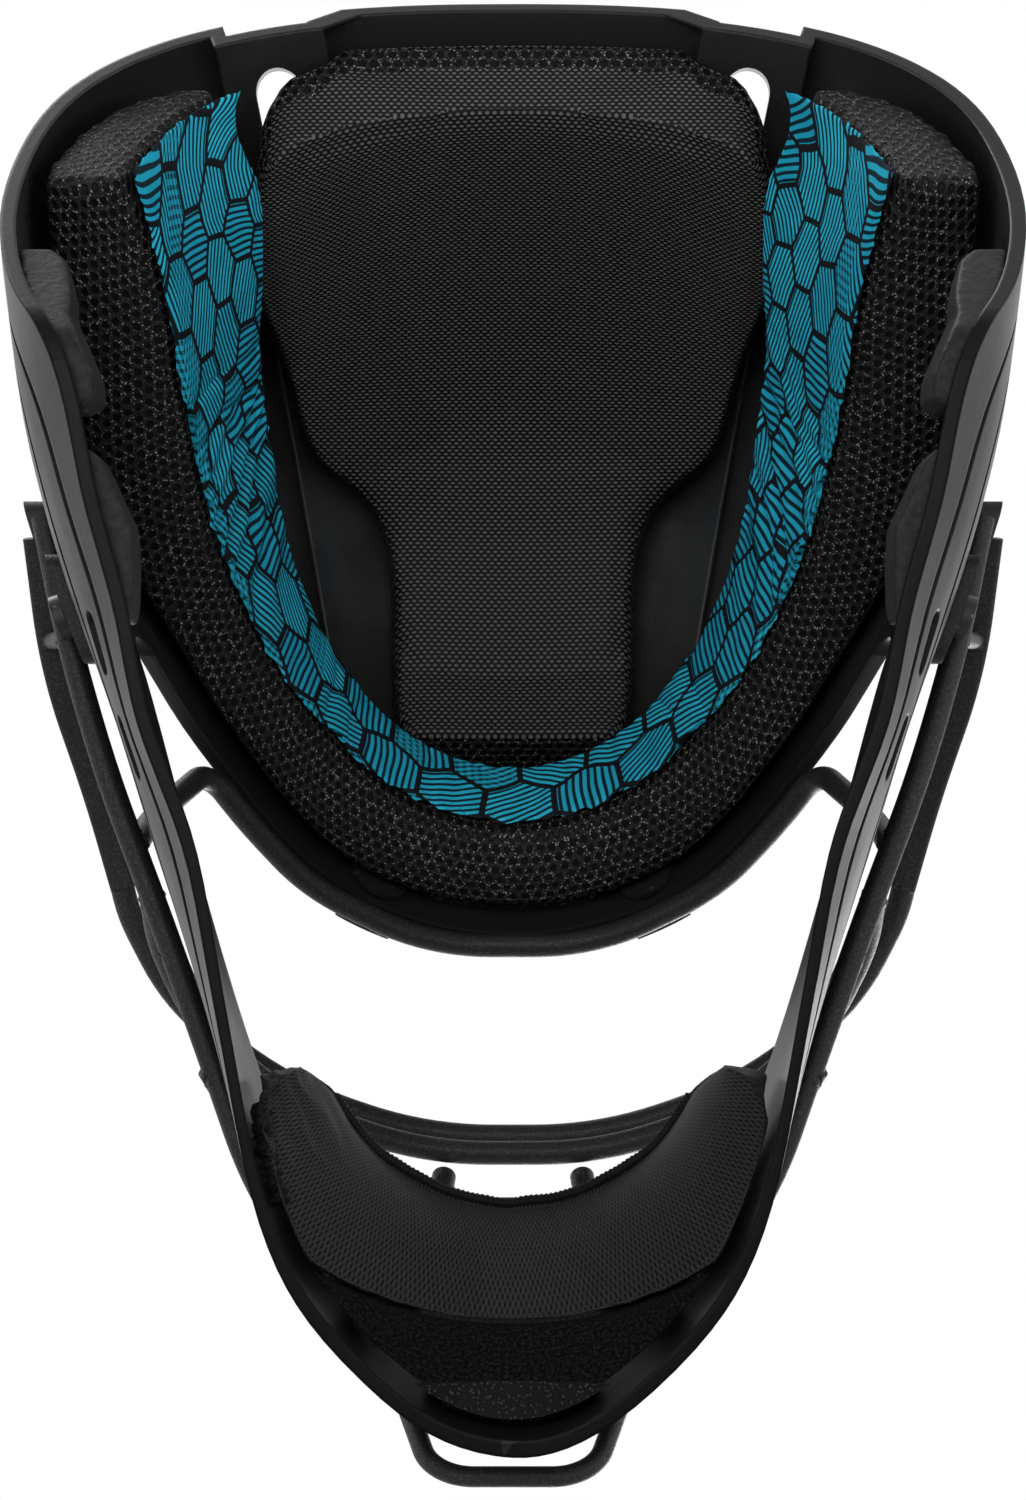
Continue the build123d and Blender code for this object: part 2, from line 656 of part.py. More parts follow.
# Crown pad: a wide block at the back with a tongue to the front, in stations round a centre in
# the side view. Each has its angle from straight up and its half width as a share.
CROWN_CENTRE_SHARES = (0.316, 0.4)
CROWN_SHARES = (
    (-40, 0.215),
    (-33, 0.25),
    (-26, 0.256),
    (-19, 0.257),
    (-13, 0.262),
    (-7, 0.295),
    (-1, 0.4),
    (6, 0.455),
    (18, 0.49),
    (31, 0.535),
    (46, 0.55),
    (58, 0.53),
    (66, 0.45),
)
crown_centre = Vector(0, CROWN_CENTRE_SHARES[0] * SHELL_BACK, CROWN_CENTRE_SHARES[1] * SHELL_HEIGHT)
crown_sections = []
for angle, width_share in CROWN_SHARES:
    direction = Vector(0, sin(radians(angle)), cos(radians(angle)))
    point, normal = hit(pad_form, crown_centre, direction)
    outer_radius = (point - crown_centre).length
    inner_radius = outer_radius - CROWN_PAD_THICKNESS
    half = width_share * SHELL_HALF_WIDTH
    drop = half * half / (2 * HEAD_LONG)
    corners = (
        (-half, inner_radius - drop),
        (half, inner_radius - drop),
        (half, outer_radius - drop + 2 * PAD_CROWN),
        (-half, outer_radius - drop + 2 * PAD_CROWN),
    )
    station = Plane(origin=crown_centre, x_dir=(1, 0, 0), z_dir=Vector(1, 0, 0).cross(direction))
    with BuildSketch(station) as placed:
        add(four_arcs(corners, (PAD_CROWN - drop, PAD_CROWN, drop + PAD_CROWN, PAD_CROWN)))
    crown_sections.append(placed.sketch.face())
with BuildPart() as crown_blank:
    loft(sections=crown_sections)
crown_channels = less(pad_channels, pad_channel_form)
band_clearance = horseshoe(BAND_THICKNESS + 2 * PAD_GAP, LINER_DEPTH + PAD_GAP, -PAD_EDGE_SHARE)
crown_pad = less(meet(crown_blank.part, pad_form), crown_channels, band_clearance)

# Chin pad: a wedge that curves round the chin, against the wall of the chin cup
CHIN_ANGLES = (-76, -62, -42, -21, 0, 21, 42, 62, 76)
chin_centre = Vector(0, CHIN_CURVE_Y, 0)


def chin_wedge(grow):
    """The whole chin wedge, with its face to the chin moved outward by grow."""
    sections = []
    for angle in CHIN_ANGLES:
        direction = Vector(sin(radians(angle)), -cos(radians(angle)), 0)
        reach = []
        for height in (CHIN_PAD_FOOT, CHIN_PAD_TOP):
            point, normal = hit(pad_form, chin_centre + Vector(0, 0, height), direction)
            reach.append(hypot(point.X, point.Y - CHIN_CURVE_Y))
        corners = (
            (CHIN_CURVE_RADIUS - grow, CHIN_PAD_TOP),
            (reach[0], CHIN_PAD_FOOT - grow),
            (max(reach[1], CHIN_CURVE_RADIUS + CHIN_PAD_FOOT), CHIN_PAD_TOP),
        )
        station = Plane(origin=chin_centre, x_dir=direction, z_dir=direction.cross(Vector(0, 0, 1)))
        with BuildSketch(station) as placed:
            add(four_arcs(corners, (CHIN_CROWN, PAD_CROWN, PAD_CROWN)))
        sections.append(placed.sketch.face())
    with BuildPart() as wedge:
        loft(sections=sections)
    return meet(wedge.part, pad_form)


def seam_solid(radius):
    """A post whose wall is the curved seam across the chin pad."""
    with BuildSketch() as seam:
        with Locations((0, CHIN_SEAM_Y)):
            Circle(radius)
    return upright_solid(seam.sketch, -OVERRUN, SHELL_HEIGHT)


chin_blank = chin_wedge(0)
chin_pad = meet(chin_blank, seam_solid(CHIN_SEAM_RADIUS - PAD_GAP / 2))
chin_base = less(chin_blank, seam_solid(CHIN_SEAM_RADIUS + PAD_GAP / 2))
with BuildSketch() as strip_plan:
    strip_edge = CHIN_CURVE_Y - hypot(CHIN_CURVE_RADIUS, CHIN_SEAM_RADIUS)
    with Locations((0, strip_edge + STRIP_WIDTH)):
        Rectangle(2 * STRIP_HALF_LENGTH, OVERRUN, align=(Align.CENTER, Align.MAX))
strip_block = upright_solid(strip_plan.sketch, -OVERRUN, CHIN_PAD_TOP / 2)
chin_strip = less(meet(chin_wedge(PAD_GAP + STRIP_THICKNESS), strip_block), chin_wedge(PAD_GAP))

# Hook and loop patches that hold the pads to the shell
CROWN_PATCH_SHARES = ((0.1, 0.14), (0.55, 0.24))
SIDE_PATCH_SHARES = (0.3, 0.52)
BROW_PATCH_SHARE = 0.08
CHIN_PATCH_SHARE = 0.06
patch_form = less(patch_outer_form, patch_inner_form)
with BuildSketch() as crown_patch_plan:
    for y_share, half_share in CROWN_PATCH_SHARES:
        with Locations((0, y_share * SHELL_BACK)):
            RectangleRounded(2 * half_share * SHELL_HALF_WIDTH, PATCH_LENGTH, PATCH_CORNER)
crown_patch = meet(patch_form, upright_solid(crown_patch_plan.sketch, CHANNEL_LOW, CHANNEL_HIGH))
with BuildSketch() as side_patch_view:
    with Locations((SIDE_PATCH_SHARES[0] * SHELL_BACK, SIDE_PATCH_SHARES[1] * SHELL_HEIGHT)):
        RectangleRounded(PATCH_LENGTH, PATCH_WIDTH, PATCH_CORNER)
side_patch = meet(patch_form, across(side_patch_view.sketch)).solids().sort_by(Axis.X)[-1]
with BuildPart() as brow_patch:
    with BuildSketch(head_plane.offset(BROW_PATCH_SHARE * HEAD_HIGH)):
        Rectangle(PATCH_LENGTH, SHELL_BACK, align=(Align.CENTER, Align.MAX))
    extrude(amount=PATCH_WIDTH)
    add(patch_form, mode=Mode.INTERSECT)
with BuildPart() as chin_patch:
    with BuildSketch(Plane.XY.offset(CHIN_PATCH_SHARE * SHELL_HEIGHT)):
        with Locations((0, CHIN_SEAM_Y - CHIN_SEAM_RADIUS / 2)):
            Rectangle(CHIN_PATCH_LENGTH, SHELL_BACK, align=(Align.CENTER, Align.MAX))
    extrude(amount=PATCH_WIDTH)
    add(patch_form, mode=Mode.INTERSECT)

# Moulded pads inside the ear and the jaw rim, low ridges along the wall with a scalloped edge:
# where each point of the edge stands as a share of the front reach, and the thickness there.
EAR_RIDGE_SHARES = (
    (0.637, 0.15),
    (0.62, 0.62),
    (0.585, 0.78),
    (0.552, 0.76),
    (0.535, 0.6),
    (0.5, 0.72),
    (0.45, 0.84),
    (0.418, 0.68),
    (0.405, 0.15),
)
JAW_RIDGE_SHARES = (
    (0.352, 0.15),
    (0.333, 0.52),
    (0.29, 0.78),
    (0.243, 1.0),
    (0.19, 0.7),
    (0.14, 0.35),
    (0.115, 0.1),
)


def ridge_pad(edge_shares, top):
    """A ridge along the wall of the shell, from just above the rim up to top."""
    edge = []
    for y_share, depth_share in edge_shares:
        start = Vector(0, y_share * SHELL_FRONT, RIM_PAD_LIFT)
        point, normal = hit(patch_outer_form, start, Vector(1, 0, 0))
        edge.append((point.X - depth_share * RIM_PAD_THICKNESS, point.Y))
    with BuildSketch() as plan:
        with BuildLine():
            Polyline(*edge)
            Polyline(edge[-1], (SHELL_HALF_WIDTH, edge[-1][1]), (SHELL_HALF_WIDTH, edge[0][1]), edge[0])
        make_face()
    ridge = meet(upright_solid(plan.sketch, 0, top), patch_outer_form)
    return largest(meet(ridge, inset_block))


ear_pad = ridge_pad(EAR_RIDGE_SHARES, EAR_PAD_TOP)
jaw_pad = ridge_pad(JAW_RIDGE_SHARES, JAW_PAD_TOP)


def fixing(start, direction, stack):
    """Screw, tee nut, and the holes in the shell and in the stack that the screw goes through."""
    point, normal = hit(outer_form, start, direction)
    inside, inner_normal = hit(inner_form, start, direction)
    under = (point - inside).dot(normal) + NUT_GAP
    seat = Plane(origin=point, z_dir=normal)
    with BuildPart() as screw:
        with BuildSketch(seat.offset(-under - NUT_FLANGE)):
            Circle(SCREW_RADIUS)
        extrude(amount=under + NUT_FLANGE + stack)
        with BuildSketch(seat.offset(stack)):
            Circle(SCREW_HEAD_RADIUS)
        extrude(amount=SCREW_HEAD_HEIGHT)
        with BuildSketch(seat.offset(stack + SCREW_HEAD_HEIGHT / 2)):
            RegularPolygon(SCREW_RADIUS, 6)
        extrude(amount=SCREW_HEAD_HEIGHT, mode=Mode.SUBTRACT)
    with BuildPart() as nut:
        with BuildSketch(seat.offset(-under - NUT_FLANGE)):
            Circle(NUT_FLANGE_RADIUS)
            Circle(SCREW_RADIUS + WELD_GAP, mode=Mode.SUBTRACT)
        extrude(amount=NUT_FLANGE)
        with BuildSketch(seat.offset(-under)):
            Circle(NUT_BARREL_RADIUS)
            Circle(SCREW_RADIUS + WELD_GAP, mode=Mode.SUBTRACT)
        extrude(amount=SHELL_WALL - PAD_GAP)
    with BuildPart() as shell_hole:
        with BuildSketch(seat.offset(-2 * under)):
            Circle(NUT_BARREL_RADIUS + WELD_GAP)
        extrude(amount=4 * under)
    with BuildPart() as stack_hole:
        with BuildSketch(seat.offset(-under)):
            Circle(SCREW_RADIUS + SCREW_CLEARANCE)
        extrude(amount=under + stack)
        with BuildSketch(seat.offset(stack)):
            Circle(SCREW_HEAD_RADIUS + SCREW_CLEARANCE)
        extrude(amount=2 * CLIP_BODY)
    return screw.part, nut.part, shell_hole.part, stack_hole.part


def rod_tab(first, last, start, upward):
    """A steel strap on the shell, welded to a rod half way along a run, and its screw's aim."""
    middle = (first + last) / 2
    along = (last - first).normalized()
    point, normal = hit(outer_form, start, middle - start)
    outward = (normal - along * normal.dot(along)).normalized()
    run = Plane(origin=middle, x_dir=along, z_dir=outward)
    if run.y_dir.Z * upward < 0:
        run = Plane(origin=middle, x_dir=-along, z_dir=outward)
    with BuildPart() as strap:
        with BuildSketch(run.offset(-STRAP_LENGTH)) as outline:
            Rectangle(STRAP_WIDTH, STRAP_LENGTH, align=(Align.CENTER, Align.MIN))
            fillet(outline.vertices().sort_by(Axis.Y)[-2:], STRAP_WIDTH / 3)
        extrude(amount=2 * STRAP_LENGTH)
        add(strap_form, mode=Mode.INTERSECT)
    return strap.part, middle + run.y_dir * STRAP_LENGTH * STRAP_SCREW_SHARE - start


strap_form = less(envelope(SEAT_GAP + STRAP_THICKNESS), envelope(SEAT_GAP))
brow_cope = bent_rod([*brow_other, *brow_half], coped_section.sketch)
brow_tab, brow_aim = rod_tab(brow_half[0], brow_half[1], brow_centre, 1)
chin_start = Vector(0, CHIN_CURVE_Y, chin_points[-2].Z)
chin_tab, chin_aim = rod_tab(chin_points[-4], chin_points[-3], chin_start, -1)

# Temple clip: a moulded block on the shell that holds the rear end of the side plate
with BuildSketch() as temple_view:
    low_y, high_y, low_z, high_z = TEMPLE_CLIP_SHARES
    with Locations(((low_y + high_y) / 2 * SHELL_FRONT, (low_z + high_z) / 2 * SHELL_HEIGHT)):
        RectangleRounded((high_y - low_y) * SHELL_FRONT, (high_z - low_z) * SHELL_HEIGHT, PATCH_CORNER)
temple_blank = less(meet(envelope(SEAT_GAP + CLIP_BODY), across(temple_view.sketch)), envelope(SEAT_GAP))
temple_blank = temple_blank.solids().sort_by(Axis.X)[-1]

tab_screw = Vector(0, sum(TAB_SHARES[:2]) / 2 * SHELL_FRONT, TAB_SCREW_SHARE * SHELL_HEIGHT)
temple_screw = Vector(0, sum(TEMPLE_CLIP_SHARES[:2]) / 2 * SHELL_FRONT, TEMPLE_SCREW_SHARE * SHELL_HEIGHT)
sideways = Vector(1, 0, 0)
brow_fixing = fixing(brow_centre, brow_aim, SEAT_GAP + STRAP_THICKNESS)
chin_fixing = fixing(chin_start, chin_aim, SEAT_GAP + STRAP_THICKNESS)
tab_fixing = fixing(tab_screw, sideways, SEAT_GAP + TAB_THICKNESS)
temple_fixing = fixing(temple_screw, sideways, SEAT_GAP + CLIP_BODY / 2)
fixings = (brow_fixing, chin_fixing, tab_fixing, temple_fixing)

brow_tab = largest(less(brow_tab, brow_cope, brow_fixing[3]))
chin_tab = largest(less(chin_tab, *front_copes, chin_fixing[3]))
mount_tab = less(tab, tab_fixing[3])
temple_clip = largest(less(temple_blank, plate_cope, side_cope, temple_fixing[3]))

with BuildPart() as screws:
    for pieces in fixings:
        add(pieces[0])
    mirror(about=Plane.YZ)
with BuildPart() as tee_nuts:
    for pieces in fixings:
        add(pieces[1])
    mirror(about=Plane.YZ)

# Shell: crown, ear sections, jaw rails and chin cup in one moulding
shell_holes = [pieces[2] for pieces in fixings]
shell_holes += [mirrored(hole) for hole in shell_holes]
with BuildPart() as shell:
    add(meet(outer_form, shell_block))
    add(less(inner_form, wide_channels), mode=Mode.SUBTRACT)
    add(channel_inner_form, mode=Mode.SUBTRACT)
    add(less(channels, channel_form), mode=Mode.SUBTRACT)
    add([vents, across(side_vents.sketch), *groove_blocks, *shell_holes], mode=Mode.SUBTRACT)

single_pieces = (
    (shell.part, "shell"),
    (brow_bar, "brow_bar"),
    (eye_upper, "eye_bar_upper"),
    (eye_lower, "eye_bar_lower"),
    (mouth, "mouth_bar"),
    (lower, "lower_bar"),
    (chin_rod, "chin_rod"),
    (throat, "throat_loop"),
    (largest(liner), "front_pad"),
    (largest(band), "sweatband"),
    (largest(crown_pad), "crown_pad"),
    (largest(chin_pad), "chin_pad"),
    (largest(chin_base), "chin_pad_base"),
    (largest(chin_strip), "chin_strip"),
    (crown_patch, "crown_patch"),
    (brow_patch.part, "brow_patch"),
    (chin_patch.part, "chin_patch"),
    (screws.part, "screws"),
    (tee_nuts.part, "tee_nuts"),
)
paired_pieces = (
    (side_rod, "side_rod"),
    (side_plate, "side_plate"),
    (upright, "upright"),
    (mount_tab, "mount_tab"),
    (cross_rod, "cross_rod"),
    (brow_tab, "brow_tab"),
    (chin_tab, "chin_tab"),
    (temple_clip, "temple_clip"),
    (ear_pad, "ear_pad"),
    (jaw_pad, "jaw_pad"),
    (side_patch, "side_patch"),
)
for piece, name in single_pieces:
    write(piece, name)
for piece, name in paired_pieces:
    write(mirrored(mirrored(piece)), name + "_left")
    write(mirrored(piece), name + "_right")
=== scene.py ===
# %% [markdown]
# # A catcher's helmet, seen into its opening
#
# The rigid pieces of the helmet, its shell, wire cage and fixings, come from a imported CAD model, in metres
# and in their places. This script gives them their finishes, builds the soft pads that the CAD only holds
# as plain solids, and lights and frames the picture. The helmet rests on its rim, faces -Y and has +Z up.

import json
import math

import bpy
import numpy as np
from mathutils import Matrix, Vector, noise
from mathutils.bvhtree import BVHTree


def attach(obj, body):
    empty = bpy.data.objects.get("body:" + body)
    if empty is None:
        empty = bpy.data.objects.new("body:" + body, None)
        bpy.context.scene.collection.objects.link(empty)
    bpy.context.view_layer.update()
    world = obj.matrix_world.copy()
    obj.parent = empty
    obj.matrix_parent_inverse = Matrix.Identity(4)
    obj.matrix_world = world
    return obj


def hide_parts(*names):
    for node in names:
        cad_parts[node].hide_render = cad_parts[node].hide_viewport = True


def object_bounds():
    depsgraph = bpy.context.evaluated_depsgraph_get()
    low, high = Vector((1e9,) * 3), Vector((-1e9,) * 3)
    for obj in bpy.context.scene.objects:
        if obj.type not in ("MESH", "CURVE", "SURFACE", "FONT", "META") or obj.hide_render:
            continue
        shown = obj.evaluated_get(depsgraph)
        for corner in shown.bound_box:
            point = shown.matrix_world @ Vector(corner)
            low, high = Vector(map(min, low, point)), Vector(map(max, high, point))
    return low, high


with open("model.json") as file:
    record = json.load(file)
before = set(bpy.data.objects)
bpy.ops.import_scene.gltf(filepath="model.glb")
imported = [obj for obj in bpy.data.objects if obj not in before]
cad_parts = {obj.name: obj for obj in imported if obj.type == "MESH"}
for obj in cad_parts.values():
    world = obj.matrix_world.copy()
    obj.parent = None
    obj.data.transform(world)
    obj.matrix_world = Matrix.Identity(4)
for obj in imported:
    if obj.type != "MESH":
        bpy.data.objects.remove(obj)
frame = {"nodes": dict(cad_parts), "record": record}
nodes = frame["nodes"]
cad_low, cad_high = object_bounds()
print("CAD box, metres:", tuple(round(v, 4) for v in cad_high - cad_low))

# %% [markdown]
# ## The camera
#
# The photograph looks straight into the rim from about 1.1 m, so the camera stands under the table and
# looks up. Turned half round about Y, its right is -X and its up is +Y. The image is 1026 by 1500, and the
# lens is worked out from the focal length in those pixels. A long lens flattens the helmet as the
# photograph does.

# %% Camera
IMAGE_HEIGHT = 1500
FOCAL_PIXELS = 5280
SENSOR = 36
CAMERA_PLACE = Vector((0, -0.0085, -1.1))
NEAREST_SEEN = 0.05

camera_data = bpy.data.cameras.new("camera")
camera_data.sensor_width = SENSOR
camera_data.lens = FOCAL_PIXELS / IMAGE_HEIGHT * SENSOR
camera_data.clip_start = NEAREST_SEEN
camera = bpy.data.objects.new("camera", camera_data)
camera.matrix_world = Matrix.Translation(CAMERA_PLACE) @ Matrix.Rotation(math.pi, 4, "Y")
bpy.context.collection.objects.link(camera)
bpy.context.scene.camera = camera
print("lens, mm:", round(camera_data.lens, 2))

# %% [markdown]
# ## Building materials from nodes
#
# A procedural material is a graph. Short helpers keep each graph readable. One makes a plain Principled
# material, one adds a node, sets its options and plugs sockets or numbers into its inputs, and the rest
# are the few steps that every finish needs: sums, ramps, mixes, relief and noise.

# %% Node helpers
BEVEL_SAMPLES = 6


def blank_material(name, colour, roughness, **sockets):
    """A Principled material with plain values on its sockets, and its shader and tree."""
    material = bpy.data.materials.new(name)
    material.use_nodes = True
    tree = material.node_tree
    shader = tree.nodes["Principled BSDF"]
    shader.inputs["Base Color"].default_value = (*colour, 1)
    shader.inputs["Roughness"].default_value = roughness
    for socket, value in sockets.items():
        shader.inputs[socket.replace("_", " ").title().replace("Ior", "IOR")].default_value = value
    return material, tree, shader


def grow(tree, kind, *values, **options):
    """Adds a node, sets its options, and gives its inputs, in order, sockets or numbers."""
    made = tree.nodes.new("ShaderNode" + kind)
    for option, value in options.items():
        setattr(made, option, value)
    for index, value in enumerate(values):
        if value is None:
            continue
        if isinstance(value, bpy.types.NodeSocket):
            tree.links.new(value, made.inputs[index])
        else:
            made.inputs[index].default_value = value
    return made


def maths(tree, operation, *values):
    """One Math node's result."""
    return grow(tree, "Math", *values, operation=operation).outputs[0]


def vector_maths(tree, operation, *values):
    """One Vector Math node, whose first output is a vector and second a number."""
    return grow(tree, "VectorMath", *values, operation=operation)


def ramp(tree, value, low, high, at_low=0.0, at_high=1.0):
    """Eases a number from at_low to at_high between two limits."""
    eased = grow(tree, "MapRange", value, low, high, at_low, at_high, interpolation_type="SMOOTHSTEP")
    return eased.outputs[0]


def mix_colour(tree, share, first, second):
    """A colour between two others. The Mix node keeps its colours on its inputs 6 and 7."""
    mixed = grow(tree, "Mix", share, data_type="RGBA")
    for index, value in ((6, first), (7, second)):
        if isinstance(value, bpy.types.NodeSocket):
            tree.links.new(value, mixed.inputs[index])
        else:
            mixed.inputs[index].default_value = (*value, 1)
    return mixed.outputs[2]


def mix_number(tree, share, first, second):
    """A number between two others. The Mix node keeps its numbers on its inputs 2 and 3."""
    return grow(tree, "Mix", share, None, first, second).outputs[0]


def add_bump(tree, shader, height, distance, edge=0):
    """Makes a height, from 0 to 1, into relief of that many metres, over edges rounded by a radius."""
    bump = grow(tree, "Bump", 1.0, distance)
    tree.links.new(height, bump.inputs["Height"])
    if edge:
        tree.links.new(grow(tree, "Bevel", edge, samples=BEVEL_SAMPLES).outputs[0], bump.inputs["Normal"])
    tree.links.new(bump.outputs[0], shader.inputs["Normal"])


def fractal(tree, place, size, detail=2.0, roughness=0.5):
    """Noise from 0 to 1 whose lumps are about size metres across."""
    return grow(tree, "TexNoise", place, None, 1 / size, detail, roughness).outputs[0]


print("material helpers ready")

# %% [markdown]
# ## A lattice of round cells
#
# Three of the cloths are knitted, and their holes, dots or slots stand in a close-packed lattice. Wrapping
# a coordinate into a box of 1 by the square root of 3 gives a plain grid; a second one, shifted by half,
# fills the places between. The nearer of the two centres is the cell that a point belongs to. Each pad
# stores its own coordinate, in metres along and across the cloth, in an attribute called weave, so the
# pattern follows the cloth round every edge and needs no unwrapping.

# %% Lattice helper
WEAVE = "weave"
ROOT_3 = math.sqrt(3)


def cloth_place(tree):
    """Where a point is on its own piece of cloth: metres along it and across it."""
    return grow(tree, "Attribute", attribute_name=WEAVE).outputs["Vector"]


def lattice(tree, place, along, across):
    """Distance to the nearest cell's centre, as a share of the pitch, the way there and the cell's name."""
    flat = vector_maths(tree, "MULTIPLY", place, (1 / along, 1 / across, 0)).outputs[0]
    half = (0.5, ROOT_3 / 2, 0)
    ways = []
    for shift in ((0, 0, 0), half):
        moved = vector_maths(tree, "ADD", flat, shift).outputs[0]
        wrapped = vector_maths(tree, "WRAP", moved, half, tuple(-value for value in half)).outputs[0]
        wrapped = vector_maths(tree, "MULTIPLY", wrapped, (1, 1, 0)).outputs[0]
        ways.append((wrapped, vector_maths(tree, "LENGTH", wrapped).outputs[1]))
    (first, first_length), (second, second_length) = ways
    nearer = maths(tree, "LESS_THAN", second_length, first_length)
    chosen = grow(tree, "Mix", nearer, data_type="VECTOR")
    tree.links.new(first, chosen.inputs[4])
    tree.links.new(second, chosen.inputs[5])
    way = chosen.outputs[1]
    name = vector_maths(tree, "SUBTRACT", flat, way).outputs[0]
    return maths(tree, "MINIMUM", first_length, second_length), way, name


print("lattice: one cell is 1 by", round(ROOT_3, 3), "pitches")

# %% [markdown]
# ## Shell plastic and powder coat
#
# The shell is injection moulded: satin outside and along the jaw, smoother round the head inside, with a
# faint orange peel and a little handling wear. One material serves both faces, because the way from the
# middle of the head tells inside from outside, and its colour holds painted light: the inside is painted
# paler and the outside darker. The cage is welded wire under black powder coat, whose grains are under a
# millimetre and catch the light as specks, which are painted glints in its colour beside their relief. A
# Bevel node rounds the edges for the light alone.

# %% Shell material
HEAD_MIDDLE = Vector((0, 0.05, 0.08))
SHELL_EDGE = 0.0011
SHELL_TURNS = 0.005
GLOSS_STARTS = -0.02
GLOSS_FULL = 0.03
GLOSS_INSIDE = 0.9
GLOSS_OUTSIDE = 0.1
# Painted light: one plastic, painted paler inside and darker outside.
SHELL_INSIDE_PAINTED_PALER = (0.017, 0.017, 0.0172)
SHELL_OUTSIDE_PAINTED_DARKER = (0.007, 0.007, 0.0073)
SMUDGE_SIZE = 0.03
PEEL_SIZE = 0.0016
PEEL_DEPTH = 0.00004


def object_place(tree):
    """Where a point is on the whole helmet, in metres."""
    return grow(tree, "TexCoord").outputs["Object"]


def shell_plastic():
    """Black plastic, satin outside and glossier round the head inside, painted paler inside and darker
    outside as painted light.
    """
    material, tree, shader = blank_material("shell_plastic", (0.012, 0.012, 0.0125), 0.4)
    place = object_place(tree)
    outward = vector_maths(tree, "SUBTRACT", place, tuple(HEAD_MIDDLE)).outputs[0]
    normal = grow(tree, "NewGeometry").outputs["Normal"]
    facing = vector_maths(tree, "DOT_PRODUCT", outward, normal).outputs[1]
    back = grow(tree, "SeparateXYZ", place).outputs[1]
    along_the_jaw = ramp(tree, back, GLOSS_FULL, GLOSS_STARTS)
    outside = maths(tree, "MAXIMUM", ramp(tree, facing, -SHELL_TURNS, SHELL_TURNS), along_the_jaw)
    smudges = fractal(tree, place, SMUDGE_SIZE, 4)
    rough_outside = ramp(tree, smudges, 0.3, 0.75, 0.3, 0.38)
    rough_inside = ramp(tree, smudges, 0.35, 0.65, 0.16, 0.32)
    tree.links.new(mix_number(tree, outside, rough_inside, rough_outside), shader.inputs["Roughness"])
    # Painted light: the inside of the shell is painted paler and the outside darker.
    tree.links.new(mix_colour(tree, outside, SHELL_INSIDE_PAINTED_PALER, SHELL_OUTSIDE_PAINTED_DARKER), shader.inputs["Base Color"])
    gloss = ramp(tree, outside, 0.0, 1.0, GLOSS_INSIDE, GLOSS_OUTSIDE)
    tree.links.new(gloss, shader.inputs["Specular IOR Level"])
    add_bump(tree, shader, fractal(tree, place, PEEL_SIZE, 1), PEEL_DEPTH, SHELL_EDGE)
    return material


print("shell edges rounded by, mm:", 1000 * SHELL_EDGE)

# %% Cage, clip and fixing materials
WIRE_EDGE = 0.0005
COAT_GLOSS = 0.22
COAT_GRAIN = 0.0006
COAT_DEPTH = 0.00012
CLIP_GLOSS = 0.25
CLIP_GRAIN = 0.0012
CLIP_DEPTH = 0.00006
WEAR_SIZE = 0.002


def powder_coat():
    """Black powder coat, whose grains stand up, and whose paler grains are painted glints in its colour."""
    material, tree, shader = blank_material(
        "powder_coat", (0.014, 0.014, 0.0145), 0.5, specular_ior_level=COAT_GLOSS
    )
    grains = fractal(tree, object_place(tree), COAT_GRAIN, 2, 0.6)
    # Painted glints: the paler grains in the colour stand in for light caught by the coat.
    tone = mix_colour(tree, ramp(tree, grains, 0.45, 0.8), (0.007, 0.007, 0.0072), (0.03, 0.03, 0.031))
    tree.links.new(tone, shader.inputs["Base Color"])
    tree.links.new(ramp(tree, grains, 0.3, 0.7, 0.58, 0.4), shader.inputs["Roughness"])
    add_bump(tree, shader, grains, COAT_DEPTH, WIRE_EDGE)
    return material


def moulded_clip():
    """Matte black plastic with the fine grain of its mould."""
    material, tree, shader = blank_material(
        "clip_plastic", (0.016, 0.016, 0.0165), 0.55, specular_ior_level=CLIP_GLOSS
    )
    grain = fractal(tree, object_place(tree), CLIP_GRAIN, 2)
    tree.links.new(ramp(tree, grain, 0.3, 0.7, 0.5, 0.62), shader.inputs["Roughness"])
    add_bump(tree, shader, grain, CLIP_DEPTH, WIRE_EDGE)
    return material


def black_oxide():
    """Blackened steel, worn paler in spots."""
    material, tree, shader = blank_material("black_oxide", (0.03, 0.03, 0.032), 0.38, metallic=0.7)
    wear = fractal(tree, object_place(tree), WEAR_SIZE, 3)
    tone = mix_colour(tree, ramp(tree, wear, 0.6, 0.75), (0.025, 0.025, 0.027), (0.11, 0.11, 0.115))
    tree.links.new(tone, shader.inputs["Base Color"])
    return material


finishes = {
    "shell": shell_plastic(),
    "cage": powder_coat(),
    "clip": moulded_clip(),
    "fixings": black_oxide(),
}
print("rigid finishes:", sorted(finishes))

# %% [markdown]
# ## Four cloths, a tape and a foam
#
# Each cloth is a black knit, and what sets them apart is relief: round holes in the spacer mesh, raised
# dots on the crown pad, short slots in the jersey, a brushed pile on the loop cloth. Colour adds painted
# light to the relief: painted shade in the holes and slots, a painted highlight on the grey dots and
# painted glints on the mesh's threads. The jersey has a little sheen, the soft rim of light that fine
# fibres have, from the shader's own socket. The relief is in real sizes, so it stays right in close views.

# %% Spacer mesh and dotted cloth
CLOTH_SHINE = 0.12
HOLE_PITCH = 0.0028
PAINTED_GLINT_SIZE = 0.0007
YARN_SIZE = 0.0006
MESH_DEPTH = 0.0008
DOT_PITCH = 0.0017
DOT_ROWS = 0.62
DOT_DEPTH = 0.0003


